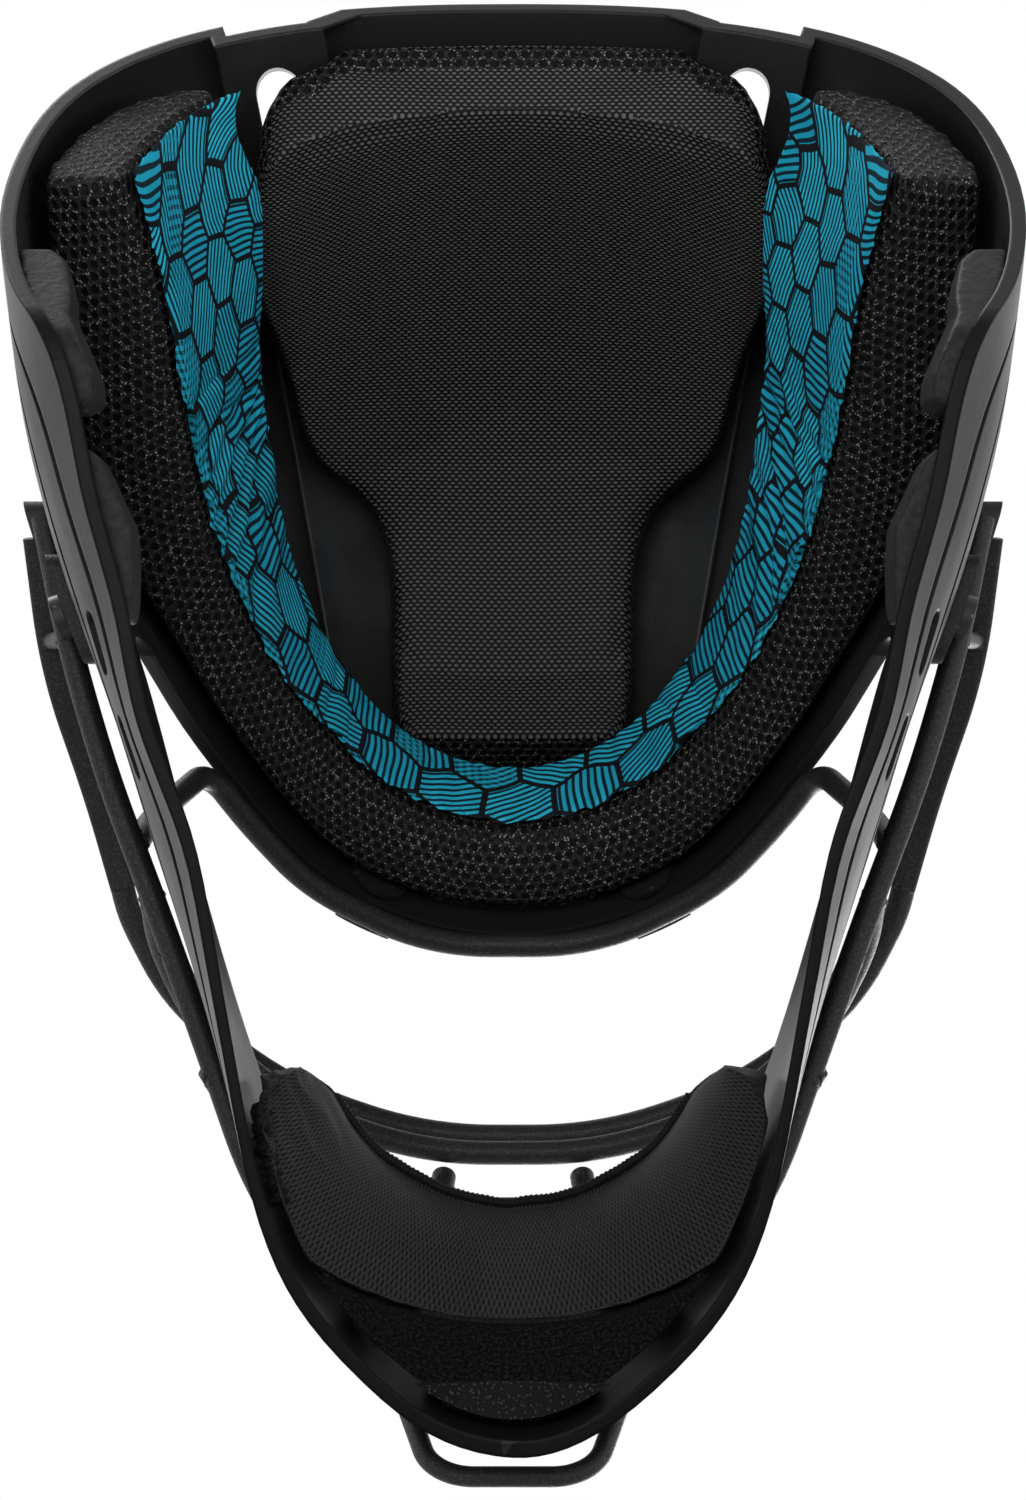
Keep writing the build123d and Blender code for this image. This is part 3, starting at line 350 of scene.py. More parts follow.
def spacer_mesh():
    """Black net over foam: round holes darkened with painted shade, and threads with painted glints here and
    there.
    """
    material, tree, shader = blank_material(
        "spacer_mesh", (0.01, 0.01, 0.0105), 0.55, specular_ior_level=CLOTH_SHINE
    )
    place = cloth_place(tree)
    thread = ramp(tree, lattice(tree, place, HOLE_PITCH, HOLE_PITCH)[0], 0.24, 0.38)
    painted_glint_cells = grow(tree, "TexVoronoi", place, None, 1 / PAINTED_GLINT_SIZE).outputs[0]
    # Painted glints: sparse bright specks on the threads, painted into the colour.
    painted_glint_share = maths(tree, "MULTIPLY", thread, ramp(tree, painted_glint_cells, 0.36, 0.08))
    # Painted shade: the holes are painted near black, where the threads leave a recess.
    base = mix_colour(tree, thread, (0.0004, 0.0004, 0.0004), (0.011, 0.011, 0.0114))
    tone = mix_colour(tree, painted_glint_share, base, (0.28, 0.28, 0.285))
    tree.links.new(tone, shader.inputs["Base Color"])
    yarn = ramp(tree, fractal(tree, place, YARN_SIZE, 1), 0.3, 0.7, 0.7, 1.0)
    add_bump(tree, shader, maths(tree, "MULTIPLY", thread, yarn), MESH_DEPTH)
    return material


def dotted_cloth():
    """Black cloth with close rows of raised grey dots, made paler still with a painted highlight."""
    material, tree, shader = blank_material(
        "dotted_cloth", (0.01, 0.01, 0.0105), 0.6, specular_ior_level=CLOTH_SHINE
    )
    distance = lattice(tree, cloth_place(tree), DOT_PITCH, DOT_PITCH * DOT_ROWS)[0]
    dot = ramp(tree, distance, 0.42, 0.2)
    # Grey dots, partly their own colour and partly a painted highlight.
    base = mix_colour(tree, dot, (0.0022, 0.0022, 0.0023), (0.085, 0.085, 0.087))
    tree.links.new(base, shader.inputs["Base Color"])
    add_bump(tree, shader, dot, DOT_DEPTH)
    return material


finishes.update(spacer_mesh=spacer_mesh(), dotted_cloth=dotted_cloth())
print("holes each, mm:", 1000 * HOLE_PITCH, "dots each, mm:", 1000 * DOT_PITCH)

# %% Jersey and loop cloth
SLOT_ALONG = 0.0011
SLOT_ACROSS = 0.0018
SLOT_THINNING = 2.2
RIB_SIZE = 0.0005
SLOT_DEPTH = 0.0003
PILE_SHINE = 0.1
PILE_SIZE = 0.0007
BRUSHING_SIZE = 0.006
BRUSHING_SHARE = 0.6
PILE_DEPTH = 0.0009


def jersey_mesh():
    """Black jersey with short narrow slots, darkened with painted shade, and a faint rib."""
    material, tree, shader = blank_material(
        "jersey_mesh", (0.014, 0.014, 0.015), 0.6, specular_ior_level=CLOTH_SHINE, sheen_weight=0.03
    )
    place = cloth_place(tree)
    way = lattice(tree, place, SLOT_ALONG, SLOT_ACROSS)[1]
    thin = vector_maths(tree, "MULTIPLY", way, (SLOT_THINNING, 1.0, 1.0)).outputs[0]
    slot_there = ramp(tree, vector_maths(tree, "LENGTH", thin).outputs[1], 0.5, 0.36)
    # Painted shade: the slots are painted darker than the knit round them.
    base = mix_colour(tree, slot_there, (0.031, 0.031, 0.0315), (0.005, 0.005, 0.005))
    tree.links.new(base, shader.inputs["Base Color"])
    rib = ramp(tree, fractal(tree, place, RIB_SIZE, 1), 0.2, 0.8, 0.75, 1.0)
    add_bump(tree, shader, maths(tree, "SUBTRACT", rib, slot_there), SLOT_DEPTH)
    return material


def loop_cloth():
    """Black brushed cloth, a fine pile in broad strokes."""
    material, tree, shader = blank_material(
        "loop_cloth", (0.008, 0.008, 0.0085), 0.9, specular_ior_level=PILE_SHINE
    )
    place = cloth_place(tree)
    pile = fractal(tree, place, PILE_SIZE, 3, 0.65)
    tone = mix_colour(tree, ramp(tree, pile, 0.42, 0.66), (0.001, 0.001, 0.001), (0.016, 0.016, 0.0165))
    tree.links.new(tone, shader.inputs["Base Color"])
    strokes = maths(tree, "MULTIPLY", fractal(tree, place, BRUSHING_SIZE, 2), BRUSHING_SHARE)
    add_bump(tree, shader, maths(tree, "ADD", pile, strokes), PILE_DEPTH)
    return material


finishes.update(jersey_mesh=jersey_mesh(), loop_cloth=loop_cloth())
print("slots each, mm:", 1000 * SLOT_ALONG, "by", 1000 * SLOT_ACROSS)

# %% Hook tape and grey foam
HOOK_SIZE = 0.0011
HOOK_DEPTH = 0.0006
FOAM_GLOSS = 0.08
FOAM_SKIN = 0.0018
FOAM_DEPTH = 0.00025


def hook_tape():
    """Black tape whose hooks are paler specks."""
    material, tree, shader = blank_material(
        "hook_tape", (0.01, 0.01, 0.0105), 0.6, specular_ior_level=CLOTH_SHINE
    )
    hooks = grow(tree, "TexVoronoi", object_place(tree), None, 1 / HOOK_SIZE).outputs[0]
    tone = mix_colour(tree, ramp(tree, hooks, 0.45, 0.1), (0.006, 0.006, 0.006), (0.07, 0.07, 0.072))
    tree.links.new(tone, shader.inputs["Base Color"])
    add_bump(tree, shader, ramp(tree, hooks, 0.5, 0.05), HOOK_DEPTH)
    return material


def grey_foam():
    """Dark grey foam with a soft moulded skin."""
    material, tree, shader = blank_material(
        "grey_foam", (0.04, 0.041, 0.042), 0.5, specular_ior_level=FOAM_GLOSS
    )
    skin = fractal(tree, object_place(tree), FOAM_SKIN, 3)
    tone = mix_colour(tree, ramp(tree, skin, 0.3, 0.7), (0.019, 0.0192, 0.0194), (0.03, 0.0302, 0.0305))
    tree.links.new(tone, shader.inputs["Base Color"])
    add_bump(tree, shader, skin, FOAM_DEPTH)
    return material


finishes.update(hook_strip=hook_tape(), grey_foam=grey_foam())
print("finishes so far:", len(finishes))

# %% [markdown]
# ## The sweatband's print
#
# The band is teal cloth with a black lattice over fine stripes. Here the lattice is a plain honeycomb, and
# each cell takes one of three stripe directions from its own name, so that no two neighbours need match.
# The print is colour only: the cloth under it is a fine knit with soft creases. A slow noise moves the
# print by a few millimetres, as cloth that was pulled by hand.

# %% Printed cloth
CELL_SIZE = 0.0165
STRIPES_PER_CELL = 9
STRIPE_WAYS = 3
PULL_SIZE = 0.02
PULL = 0.003
KNIT_SIZE = 0.0006
KNIT_SHARE = 0.08
CREASE_SIZE = 0.008
CREASE_STRETCH = 0.3
CREASE_DEPTH = 0.0016
INK = (0.004, 0.005, 0.007)
STRIPE_INK = (0.002, 0.014, 0.022)
DEEP_TEAL = (0.01, 0.29, 0.44)
PALE_TEAL = (0.02, 0.42, 0.58)


def printed_cloth():
    """Teal cloth with an inked honeycomb, whose cells are striped in one of three ways."""
    material, tree, shader = blank_material(
        "printed_cloth", (0.02, 0.25, 0.38), 0.75, specular_ior_level=CLOTH_SHINE
    )
    place = cloth_place(tree)
    wobble = grow(tree, "TexNoise", place, None, 1 / PULL_SIZE, 1.0, 0.5).outputs[1]
    moved = vector_maths(tree, "MULTIPLY_ADD", wobble, (PULL, PULL, 0), place).outputs[0]
    way, name = lattice(tree, moved, CELL_SIZE, CELL_SIZE)[1:]
    reach = vector_maths(tree, "ABSOLUTE", way).outputs[0]
    slanted = vector_maths(tree, "DOT_PRODUCT", reach, (0.5, ROOT_3 / 2, 0)).outputs[1]
    level = grow(tree, "SeparateXYZ", reach).outputs[0]
    rim = maths(tree, "MAXIMUM", slanted, level)
    line = ramp(tree, rim, 0.448, 0.46)
    chance = grow(tree, "TexWhiteNoise", name, noise_dimensions="3D").outputs[0]
    drawn = maths(tree, "FLOOR", maths(tree, "MULTIPLY", chance, float(STRIPE_WAYS)))
    turned = grow(tree, "VectorRotate", way, rotation_type="Z_AXIS")
    tree.links.new(maths(tree, "MULTIPLY", drawn, math.pi / STRIPE_WAYS), turned.inputs["Angle"])
    across = grow(tree, "SeparateXYZ", turned.outputs[0]).outputs[0]
    wave = maths(tree, "SINE", maths(tree, "MULTIPLY", across, STRIPES_PER_CELL * 2 * math.pi))
    stripe = ramp(tree, wave, -0.45, 0.25)
    striped = mix_colour(tree, stripe, STRIPE_INK, mix_colour(tree, chance, DEEP_TEAL, PALE_TEAL))
    tree.links.new(mix_colour(tree, line, striped, INK), shader.inputs["Base Color"])
    knit = maths(tree, "MULTIPLY", fractal(tree, place, KNIT_SIZE, 1), KNIT_SHARE)
    upright = vector_maths(tree, "MULTIPLY", place, (1.0, CREASE_STRETCH, 1.0)).outputs[0]
    creases = fractal(tree, upright, CREASE_SIZE, 2)
    add_bump(tree, shader, maths(tree, "ADD", knit, creases), CREASE_DEPTH)
    return material


finishes["printed_cloth"] = printed_cloth()
print("print, mm: cells", 1000 * CELL_SIZE, "stripes", round(1000 * CELL_SIZE / STRIPES_PER_CELL, 2))

# %% [markdown]
# ## Dressing the rigid nodes
#
# Every CAD node that stays in view gets the finish of its material slot. The slots are in the record, so a
# short loop serves them all.

# %% Dress the CAD nodes
for entry in frame["record"]["subparts"]:
    mesh = nodes[entry["node"]].data
    mesh.materials.clear()
    mesh.materials.append(finishes[entry["material_slot"]])

# %% [markdown]
# ## Forming the pads
#
# Each pad starts as a copy of its CAD solid. A voxel remesh turns it into an even cloth of small squares,
# a smoothing rounds its edges, and it is drawn in along its normals. Cloth simulation with air pressure
# and no gravity then swells it, as a cover is stretched over foam, and no point may move out further than
# it was drawn in, so the pad fills its solid and stays clear of its neighbours. A search tree of the solid
# brings back the few points that are past it. Thin, firm pads aren't drawn in, and they are only rounded.

# %% Tools for meshes
scene = bpy.context.scene


def link(name, mesh):
    """A new object for a mesh, in the scene."""
    made = bpy.data.objects.new(name, mesh)
    bpy.context.collection.objects.link(made)
    return made


def with_modifier(piece, kind, **settings):
    """Adds one modifier, bakes it into the mesh and takes it off again."""
    modifier = piece.modifiers.new("step", kind)
    for setting, value in settings.items():
        setattr(modifier, setting, value)
    baked = bpy.data.meshes.new_from_object(piece.evaluated_get(bpy.context.evaluated_depsgraph_get()))
    piece.modifiers.remove(modifier)
    piece.data = baked


def points_of(mesh):
    """Every vertex of a mesh as one array."""
    flat = np.empty(len(mesh.vertices) * 3)
    mesh.vertices.foreach_get("co", flat)
    return flat.reshape(-1, 3)


def normals_of(mesh):
    """Every vertex normal of a mesh as one array."""
    flat = np.empty(len(mesh.vertices) * 3)
    mesh.vertex_normals.foreach_get("vector", flat)
    return flat.reshape(-1, 3)


def set_points(mesh, points):
    """Moves every vertex of a mesh."""
    mesh.vertices.foreach_set("co", np.ascontiguousarray(points, dtype=np.float64).ravel())
    mesh.update()


print("mesh tools ready")

# %% Swelling and holding in
SWELL_FRAMES = 20
SWELL_PRESSURE = 4
COVER_STIFFNESS = 2.0
HAIR = 0.00015
ROUNDING_STEP = 0.5
SETTLING_STEP = 0.4
SETTLING_TURNS = 2


def hold_inside(points, solid):
    """Brings points that are outside a solid, or nearer its skin than a hair, back to that depth."""
    held = points.copy()
    for index, point in enumerate(points):
        place, normal = solid.find_nearest(point)[:2]
        if (Vector(point) - place).dot(normal) > -HAIR:
            held[index] = place - normal * HAIR
    return held


def swell(piece, cap):
    """Cloth simulation with pressure. The points move out by the cap at most, and along by half of it."""
    before, outward = points_of(piece.data), normals_of(piece.data)
    cloth = piece.modifiers.new("swell", "CLOTH")
    cloth.settings.use_pressure = True
    cloth.settings.uniform_pressure_force = SWELL_PRESSURE
    cloth.settings.effector_weights.gravity = 0
    cloth.settings.bending_stiffness = COVER_STIFFNESS
    cloth.collision_settings.use_collision = False
    cloth.point_cache.frame_start, cloth.point_cache.frame_end = 1, SWELL_FRAMES
    for frame_number in range(1, SWELL_FRAMES + 1):
        scene.frame_set(frame_number)
    baked = bpy.data.meshes.new_from_object(piece.evaluated_get(bpy.context.evaluated_depsgraph_get()))
    moves = points_of(baked) - before
    piece.modifiers.remove(cloth)
    bpy.data.meshes.remove(baked)
    scene.frame_set(1)
    out = (moves * outward).sum(axis=1)
    along = moves - out[:, None] * outward
    slide = np.linalg.norm(along, axis=1)
    along *= np.minimum(1, cap / 2 / np.maximum(slide, 1e-9))[:, None]
    print("  pressed out, mm:", round(1000 * out.max(), 2), "slid, mm:", round(1000 * slide.max(), 2))
    return before + along + np.clip(out, 0, cap)[:, None] * outward


def pad(node_name, name, voxel, rounding, inset, folds=None):
    """One soft piece from its CAD solid. folds may add relief before the piece is refined."""
    mesh = nodes[node_name].data.copy()
    mesh.materials.clear()
    piece = link(name, mesh)
    solid = BVHTree.FromObject(piece, bpy.context.evaluated_depsgraph_get())
    with_modifier(piece, "REMESH", mode="VOXEL", voxel_size=voxel)
    with_modifier(piece, "SMOOTH", factor=ROUNDING_STEP, iterations=rounding)
    points, outward = points_of(piece.data), normals_of(piece.data)
    if inset > HAIR:
        set_points(piece.data, points - inset * outward)
        points = swell(piece, inset - HAIR)
    if folds:
        points = folds(points, outward)
    set_points(piece.data, hold_inside(points, solid))
    with_modifier(piece, "SMOOTH", factor=SETTLING_STEP, iterations=SETTLING_TURNS)
    with_modifier(piece, "SUBSURF", levels=1)
    piece.data.shade_smooth()
    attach(piece, "root")
    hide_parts(node_name)
    print(name, "faces:", len(piece.data.polygons))
    return piece


print("swelling takes", SWELL_FRAMES, "frames at a pressure of", SWELL_PRESSURE)

# %% [markdown]
# ## The way of the cloth
#
# Each pad has three directions of its own: along, across and into its thickness. A face shows the two that
# it doesn't point in, so the knit runs over the broad face and down the sides with its true pitch. The
# liner and the sweatband bend round the head, so their along is the length walked round the head's axis,
# measured on the pad itself in steps of a few degrees.

# %% Weave coordinates
HEAD_TILT = math.radians(31)
HEAD_CENTRE = np.array((0, 0.0505, 0.082))
HEAD_BEHIND = 0.005
MIDDLE_STEPS = 90
EDGE_STEPS = 45
STRAY_PERCENT = 4


def in_head(points):
    """Row places as places in the tilted frame of the head: right, back and up."""
    away = points - HEAD_CENTRE
    back = away[:, 1] * math.cos(HEAD_TILT) - away[:, 2] * math.sin(HEAD_TILT)
    up = away[:, 1] * math.sin(HEAD_TILT) + away[:, 2] * math.cos(HEAD_TILT)
    return away[:, 0], back - HEAD_BEHIND, up


def from_head(right, back, up):
    """Row directions from directions in the frame of the head."""
    forward = back * math.cos(HEAD_TILT) + up * math.sin(HEAD_TILT)
    upward = -back * math.sin(HEAD_TILT) + up * math.cos(HEAD_TILT)
    return np.stack((right, forward, upward), axis=1)


def lowest_few(values):
    """Nearly the least of some values, so that one stray point doesn't count."""
    return np.percentile(values, STRAY_PERCENT)


def binned(keys, values, low, high, count, pick):
    """A smooth curve of one value against another: its places and its values."""
    edges = np.linspace(low, high, count + 1)
    places = (edges[:-1] + edges[1:]) / 2
    found = []
    for start, end in zip(edges[:-1], edges[1:]):
        inside = values[(keys >= start) & (keys <= end)]
        found.append(pick(inside) if len(inside) else np.nan)
    found = np.array(found)
    known = ~np.isnan(found)
    found = np.interp(places, places[known], found[known])
    padded = np.concatenate((found[:1], found, found[-1:]))
    return places, (padded[:-2] + 2 * padded[1:-1] + padded[2:]) / 4


def round_the_head(points):
    """Along, across, depth and their ways, for a pad that bends round the head."""
    right, back, up = in_head(points)
    reach = np.hypot(right, back)
    turn = np.arctan2(right, -back)
    limit = np.abs(turn).max()
    places, middle = binned(turn, reach, -limit, limit, MIDDLE_STEPS, np.median)
    edge_places, near = binned(turn, reach, -limit, limit, EDGE_STEPS, lowest_few)
    edge_places, low = binned(turn, up, -limit, limit, EDGE_STEPS, lowest_few)
    steps = np.hypot(np.diff(middle), middle[:-1] * np.diff(places))
    walked = np.concatenate(((0,), np.cumsum(steps)))
    along = np.interp(turn, places, walked - np.interp(0, places, walked))
    across = np.interp(turn, edge_places, low) - up
    depth = reach - np.interp(turn, edge_places, near)
    none = np.zeros_like(turn)
    ways = (
        from_head(np.cos(turn), np.sin(turn), none),
        from_head(none, none, none - 1),
        from_head(np.sin(turn), -np.cos(turn), none),
    )
    return (along, across, depth), ways


print("the head lies back by, degrees:", round(math.degrees(HEAD_TILT), 1))

# %% Crown and chin coordinates
CROWN_CENTRE = np.array((0, 0.06, 0.08))
CROWN_RADIUS = 0.095
CHIN_CENTRE = np.array((0, -0.064, 0))
CHIN_RADIUS = 0.06


def over_the_crown(points):
    """The same for the crown pad, whose along is X and whose across bends from front to back."""
    away = points - CROWN_CENTRE
    turn = np.arctan2(away[:, 1], away[:, 2])
    reach = np.hypot(away[:, 1], away[:, 2])
    none, one = np.zeros_like(turn), np.ones_like(turn)
    ways = (
        np.stack((one, none, none), axis=1),
        np.stack((none, np.cos(turn), -np.sin(turn)), axis=1),
        np.stack((none, np.sin(turn), np.cos(turn)), axis=1),
    )
    return (points[:, 0], turn * CROWN_RADIUS, reach), ways


def round_the_chin(points):
    """The same for the chin pads, whose across runs down the slanting face of the wedge."""
    away = points - CHIN_CENTRE
    turn = np.arctan2(away[:, 0], -away[:, 1])
    reach = np.hypot(away[:, 0], away[:, 1])
    half = math.sqrt(0.5)
    none, one = np.zeros_like(turn), np.ones_like(turn)
    outward = np.stack((np.sin(turn), -np.cos(turn), none), axis=1)
    upward = np.stack((none, none, one), axis=1)
    ways = (
        np.stack((np.cos(turn), np.sin(turn), none), axis=1),
        half * (outward - upward),
        half * (outward + upward),
    )
    return (turn * CHIN_RADIUS, half * (reach - away[:, 2]), half * (reach + away[:, 2])), ways


print("radii of crown and chin, mm:", 1000 * CROWN_RADIUS, 1000 * CHIN_RADIUS)

# %% Storing the weave
BROAD_FAVOUR = 1.25


def store_weave(piece, mapping, wrapped=False, favour=BROAD_FAVOUR):
    """Writes the weave coordinate to each face corner, and returns which way each face points.

    A wrapped cloth has no seams: its pattern runs on over the long edges, with the depth added."""
    mesh = piece.data
    values, ways = mapping(points_of(mesh))
    corner_vertex = np.empty(len(mesh.loops), dtype=np.int32)
    mesh.loops.foreach_get("vertex_index", corner_vertex)
    starts = np.empty(len(mesh.polygons), dtype=np.int32)
    mesh.polygons.foreach_get("loop_start", starts)
    totals = np.empty(len(mesh.polygons), dtype=np.int32)
    mesh.polygons.foreach_get("loop_total", totals)
    normals = np.empty(len(mesh.polygons) * 3)
    mesh.polygons.foreach_get("normal", normals)
    normals = normals.reshape(-1, 3)
    first = corner_vertex[starts]
    facing = np.stack([np.abs((normals * way[first]).sum(axis=1)) for way in ways], axis=1)
    facing[:, 2] *= favour
    points_in = facing.argmax(axis=1)
    corner_in = np.repeat(points_in, totals)
    along, across, depth = (value[corner_vertex] for value in values)
    place = np.zeros((len(corner_vertex), 3))
    place[:, 0] = np.where(corner_in == 0, depth, along)
    place[:, 1] = np.where(corner_in == 1, depth, across)
    if wrapped:
        place[:, 0], place[:, 1] = along, across + depth
    weave = mesh.attributes.new(WEAVE, "FLOAT_VECTOR", "CORNER")
    weave.data.foreach_set("vector", place.ravel())
    return points_in


def dress(piece, *slots, points_in=None, sides=()):
    """Gives a piece its finishes; the faces that point in a way named in sides take the second."""
    for slot_name in slots:
        piece.data.materials.append(finishes[slot_name])
    if sides:
        chosen = np.isin(points_in, sides).astype(np.int32)
        piece.data.polygons.foreach_set("material_index", chosen)


print("finishes to choose from:", sorted(finishes))

# %% [markdown]
# ## Liner and sweatband
#
# The liner is foam in spacer mesh, full and firm. The sweatband is a thin cloth tube on its inner face.
# Beside the temples it is gathered, so it has small cross folds there and shallower ones along the
# forehead, and four sharper pinches mark where it was tacked down. Both are relief, put on after the
# swelling.

# %% Liner and sweatband
FOLD_LENGTH = 0.0075
FOLD_DEPTH = 0.0013
FOLD_WANDER = 5
TEMPLE_TURN = 1.2
TEMPLE_SPREAD = 0.32
FOREHEAD_FOLDS = 0.4
FOREHEAD_SPREAD = 0.6
END_FADE = 1.3
WANDERS_PER_METRE = 60
PINCHES = ((1.6, 0.0032), (0.52, 0.0024), (-0.5, 0.0024), (-1.4, 0.0016))
PINCH_WIDTH = 0.05
PINCH_WANDER = 0.06


def gathers(points, normals):
    """Small folds across the sweatband, strongest beside the temples, and four pinches."""
    right, back, up = in_head(points)
    turn = np.arctan2(right, -back)
    strength = np.exp(-(((np.abs(turn) - TEMPLE_TURN) / TEMPLE_SPREAD) ** 2))
    strength = strength + FOREHEAD_FOLDS * np.exp(-((turn / FOREHEAD_SPREAD) ** 4))
    end_on = np.abs(normals[:, 0] * np.cos(turn) + normals[:, 1] * np.sin(turn))
    strength *= np.clip(END_FADE - end_on, 0, 1)
    wander = np.array([noise.noise(Vector(point) * WANDERS_PER_METRE) for point in points])
    wave = np.sin(2 * math.pi * np.hypot(right, back) * turn / FOLD_LENGTH + FOLD_WANDER * wander)
    sunk = FOLD_DEPTH * strength * (1 - wave)
    for pinch_turn, pinch_depth in PINCHES:
        sunk += pinch_depth * np.exp(-(((turn - pinch_turn + PINCH_WANDER * wander) / PINCH_WIDTH) ** 2))
    return points - normals * sunk[:, None]


liner = pad("front_pad", "liner", voxel=0.0025, rounding=5, inset=0.0012)
store_weave(liner, round_the_head)
dress(liner, "spacer_mesh")
band = pad("sweatband", "sweat_band", voxel=0.0011, rounding=8, inset=0.0004, folds=gathers)
store_weave(band, round_the_head, wrapped=True)
dress(band, "printed_cloth")

# %% [markdown]
# ## Crown pad
#
# A broad cushion of dotted cloth with a wall of spacer mesh. A stitched groove runs round its broad face a
# few millimetres in from the edge, and the cloth is drawn down at it. At the rear, where the pad's end
# faces the camera, the dotted cloth runs on over the end and leaves a narrow border of mesh.

# %% Crown pad
SEAM_IN = 0.004
SEAM_WIDTH = 0.0011
SEAM_DEPTH = 0.0009
OUTLINE_STEPS = 60
BROAD_FROM = 0.5
REAR_END = 0.02
REAR_BORDER = 0.006
REAR_STEPS = 40
WALL_FAVOUR = 2.6


def crown_seam(points, normals):
    """Draws the broad face down along a line a little inside its outline."""
    (along, across, depth), ways = over_the_crown(points)
    low, high = across.min(), across.max()
    places, half = binned(across, np.abs(along), low, high, OUTLINE_STEPS, np.max)
    to_side = np.interp(across, places, half) - np.abs(along)
    edge = np.minimum(to_side, np.minimum(high - across, across - low))
    broad = np.abs((normals * ways[2]).sum(axis=1)) > BROAD_FROM
    groove = SEAM_DEPTH * np.exp(-(((edge - SEAM_IN) / SEAM_WIDTH) ** 2)) * broad
    return points - normals * groove[:, None]


def broad_at_rear(piece, points_in):
    """Lets the dotted cloth run on over the pad's rear end, up to a border of mesh."""
    centres = np.empty(len(piece.data.polygons) * 3)
    piece.data.polygons.foreach_get("center", centres)
    (along, across, depth), ways = over_the_crown(centres.reshape(-1, 3))
    end = (across > across.max() - REAR_END) & (points_in == 1)
    low, high = along[end].min(), along[end].max()
    places, outer = binned(along[end], depth[end], low, high, REAR_STEPS, np.max)
    points_in[end & (depth < np.interp(along, places, outer) - REAR_BORDER)] = 2
    return points_in


crown = pad("crown_pad", "crown_cushion", voxel=0.0025, rounding=4, inset=0.0012, folds=crown_seam)
points_in = broad_at_rear(crown, store_weave(crown, over_the_crown, favour=WALL_FAVOUR))
dress(crown, "dotted_cloth", "spacer_mesh", points_in=points_in, sides=(0, 1))

# %% [markdown]
# ## Chin pads
#
# The wedge has a jersey crescent towards the chin, a brushed loop crescent below it and a strip of hook
# tape at the bottom. The jersey is a soft roll, so its section is crowned and its horns are rounded. It is
# bunched at the wearer's left end, where its cover was drawn shut.

# %% Chin pads
CHIN_STEPS = 60
CHIN_CROWN = 0.0035
HORN_ROUND = 0.016
HORN_BLUNT = 0.8
BUNCH_PLACE = np.array((0.052, -0.088))
BUNCH_SIZE = 0.011
BUNCH_WAVE = 0.0042
BUNCH_SLANT = 0.6
BUNCH_WANDER = 4
BUNCH_DEPTH = 0.0012
BUNCHES_PER_METRE = 90


def chin_form(points, normals):
    """A crowned roll with rounded horns, bunched up at the wearer's left end."""
    (along, across, depth), ways = round_the_chin(points)
    reach = np.abs(along).max()
    places, low = binned(along, across, -reach, reach, CHIN_STEPS, np.min)
    places, high = binned(along, across, -reach, reach, CHIN_STEPS, np.max)
    lower, upper = np.interp(along, places, low), np.interp(along, places, high)
    middle, half = (lower + upper) / 2, (upper - lower) / 2
    share = np.clip((across - middle) / half, -1, 1)
    facing = np.clip(-(normals * ways[2]).sum(axis=1), 0, 1)
    points = points + ways[2] * (CHIN_CROWN * facing * share**2)[:, None]
    ending = np.clip((np.abs(along) - reach + HORN_ROUND) / HORN_ROUND, 0, 1)
    narrowed = np.sqrt(1 - HORN_BLUNT * ending**2) - 1
    points = points + ways[1] * (narrowed * (across - middle))[:, None]
    away = points[:, :2] - BUNCH_PLACE
    strength = np.exp(-(away**2).sum(axis=1) / BUNCH_SIZE**2)
    wander = np.array([noise.noise(Vector(point) * BUNCHES_PER_METRE) for point in points])
    slant = (away[:, 0] - BUNCH_SLANT * away[:, 1]) / BUNCH_WAVE
    wave = np.sin(2 * math.pi * slant + BUNCH_WANDER * wander)
    return points + normals * (BUNCH_DEPTH * strength * (wave - 1))[:, None]


chin = pad("chin_pad", "chin_cushion", voxel=0.0014, rounding=9, inset=0.0008, folds=chin_form)
store_weave(chin, round_the_chin)
dress(chin, "jersey_mesh")
chin_base = pad("chin_pad_base", "chin_base_cushion", voxel=0.0012, rounding=6, inset=0.0005)
store_weave(chin_base, round_the_chin)
dress(chin_base, "loop_cloth")
strip = pad("chin_strip", "chin_tape", voxel=0.0005, rounding=2, inset=0)
store_weave(strip, round_the_chin)
dress(strip, "hook_strip")

# %% [markdown]
# ## Seams, hems and a bunched corner
#
# Jersey and loop cloth meet in an overlocked seam, the jersey's inner edge is a rolled hem, the liner has
# an overlocked edge towards the shell, and the jersey's cover ends in a bunched corner at the wearer's
# left. All four are ribbed tubes. Their lines are read from the cushions themselves: in each step round
# the head or the chin, the place that lies furthest towards the wanted edge among those that face down.

# %% Edges of the cushions
SEAM_STEPS = 90
SEEN_BELOW = -0.15


def edge_line(piece, mapping, towards, low, high, sunk=0):
    """The edge of a cushion as seen from below, between two places along it, sunk by a depth."""
    points, normals = points_of(piece.data), normals_of(piece.data)
    values, ways = mapping(points)
    seen = normals[:, 2] < SEEN_BELOW
    edges = np.linspace(low, high, SEAM_STEPS + 1)
    line = []
    for start, end in zip(edges[:-1], edges[1:]):
        inside = np.flatnonzero(seen & (values[0] >= start) & (values[0] <= end))
        if len(inside):
            pick = inside[towards(values)[inside].argmax()]
            line.append(points[pick] - sunk * normals[pick])
    return np.array(line)


def across_of(values):
    """The edge furthest across."""
    return values[1]


def inner_of(values):
    """The edge least far across."""
    return -values[1]


def outer_of(values):
    """The edge furthest out from the head."""
    return values[2]


def half_length(piece, mapping):
    """How far a pad reaches along, from its middle to its further end."""
    return np.abs(mapping(points_of(piece.data))[0][0]).max()


print("the jersey reaches, mm:", round(1000 * half_length(chin, round_the_chin), 1))

# %% Ribbed tubes
SEAM_SIDES = 8
EVENING_TURNS = 6
RINGS_PER_RIB = 4
TIP_SIZE = 0.3


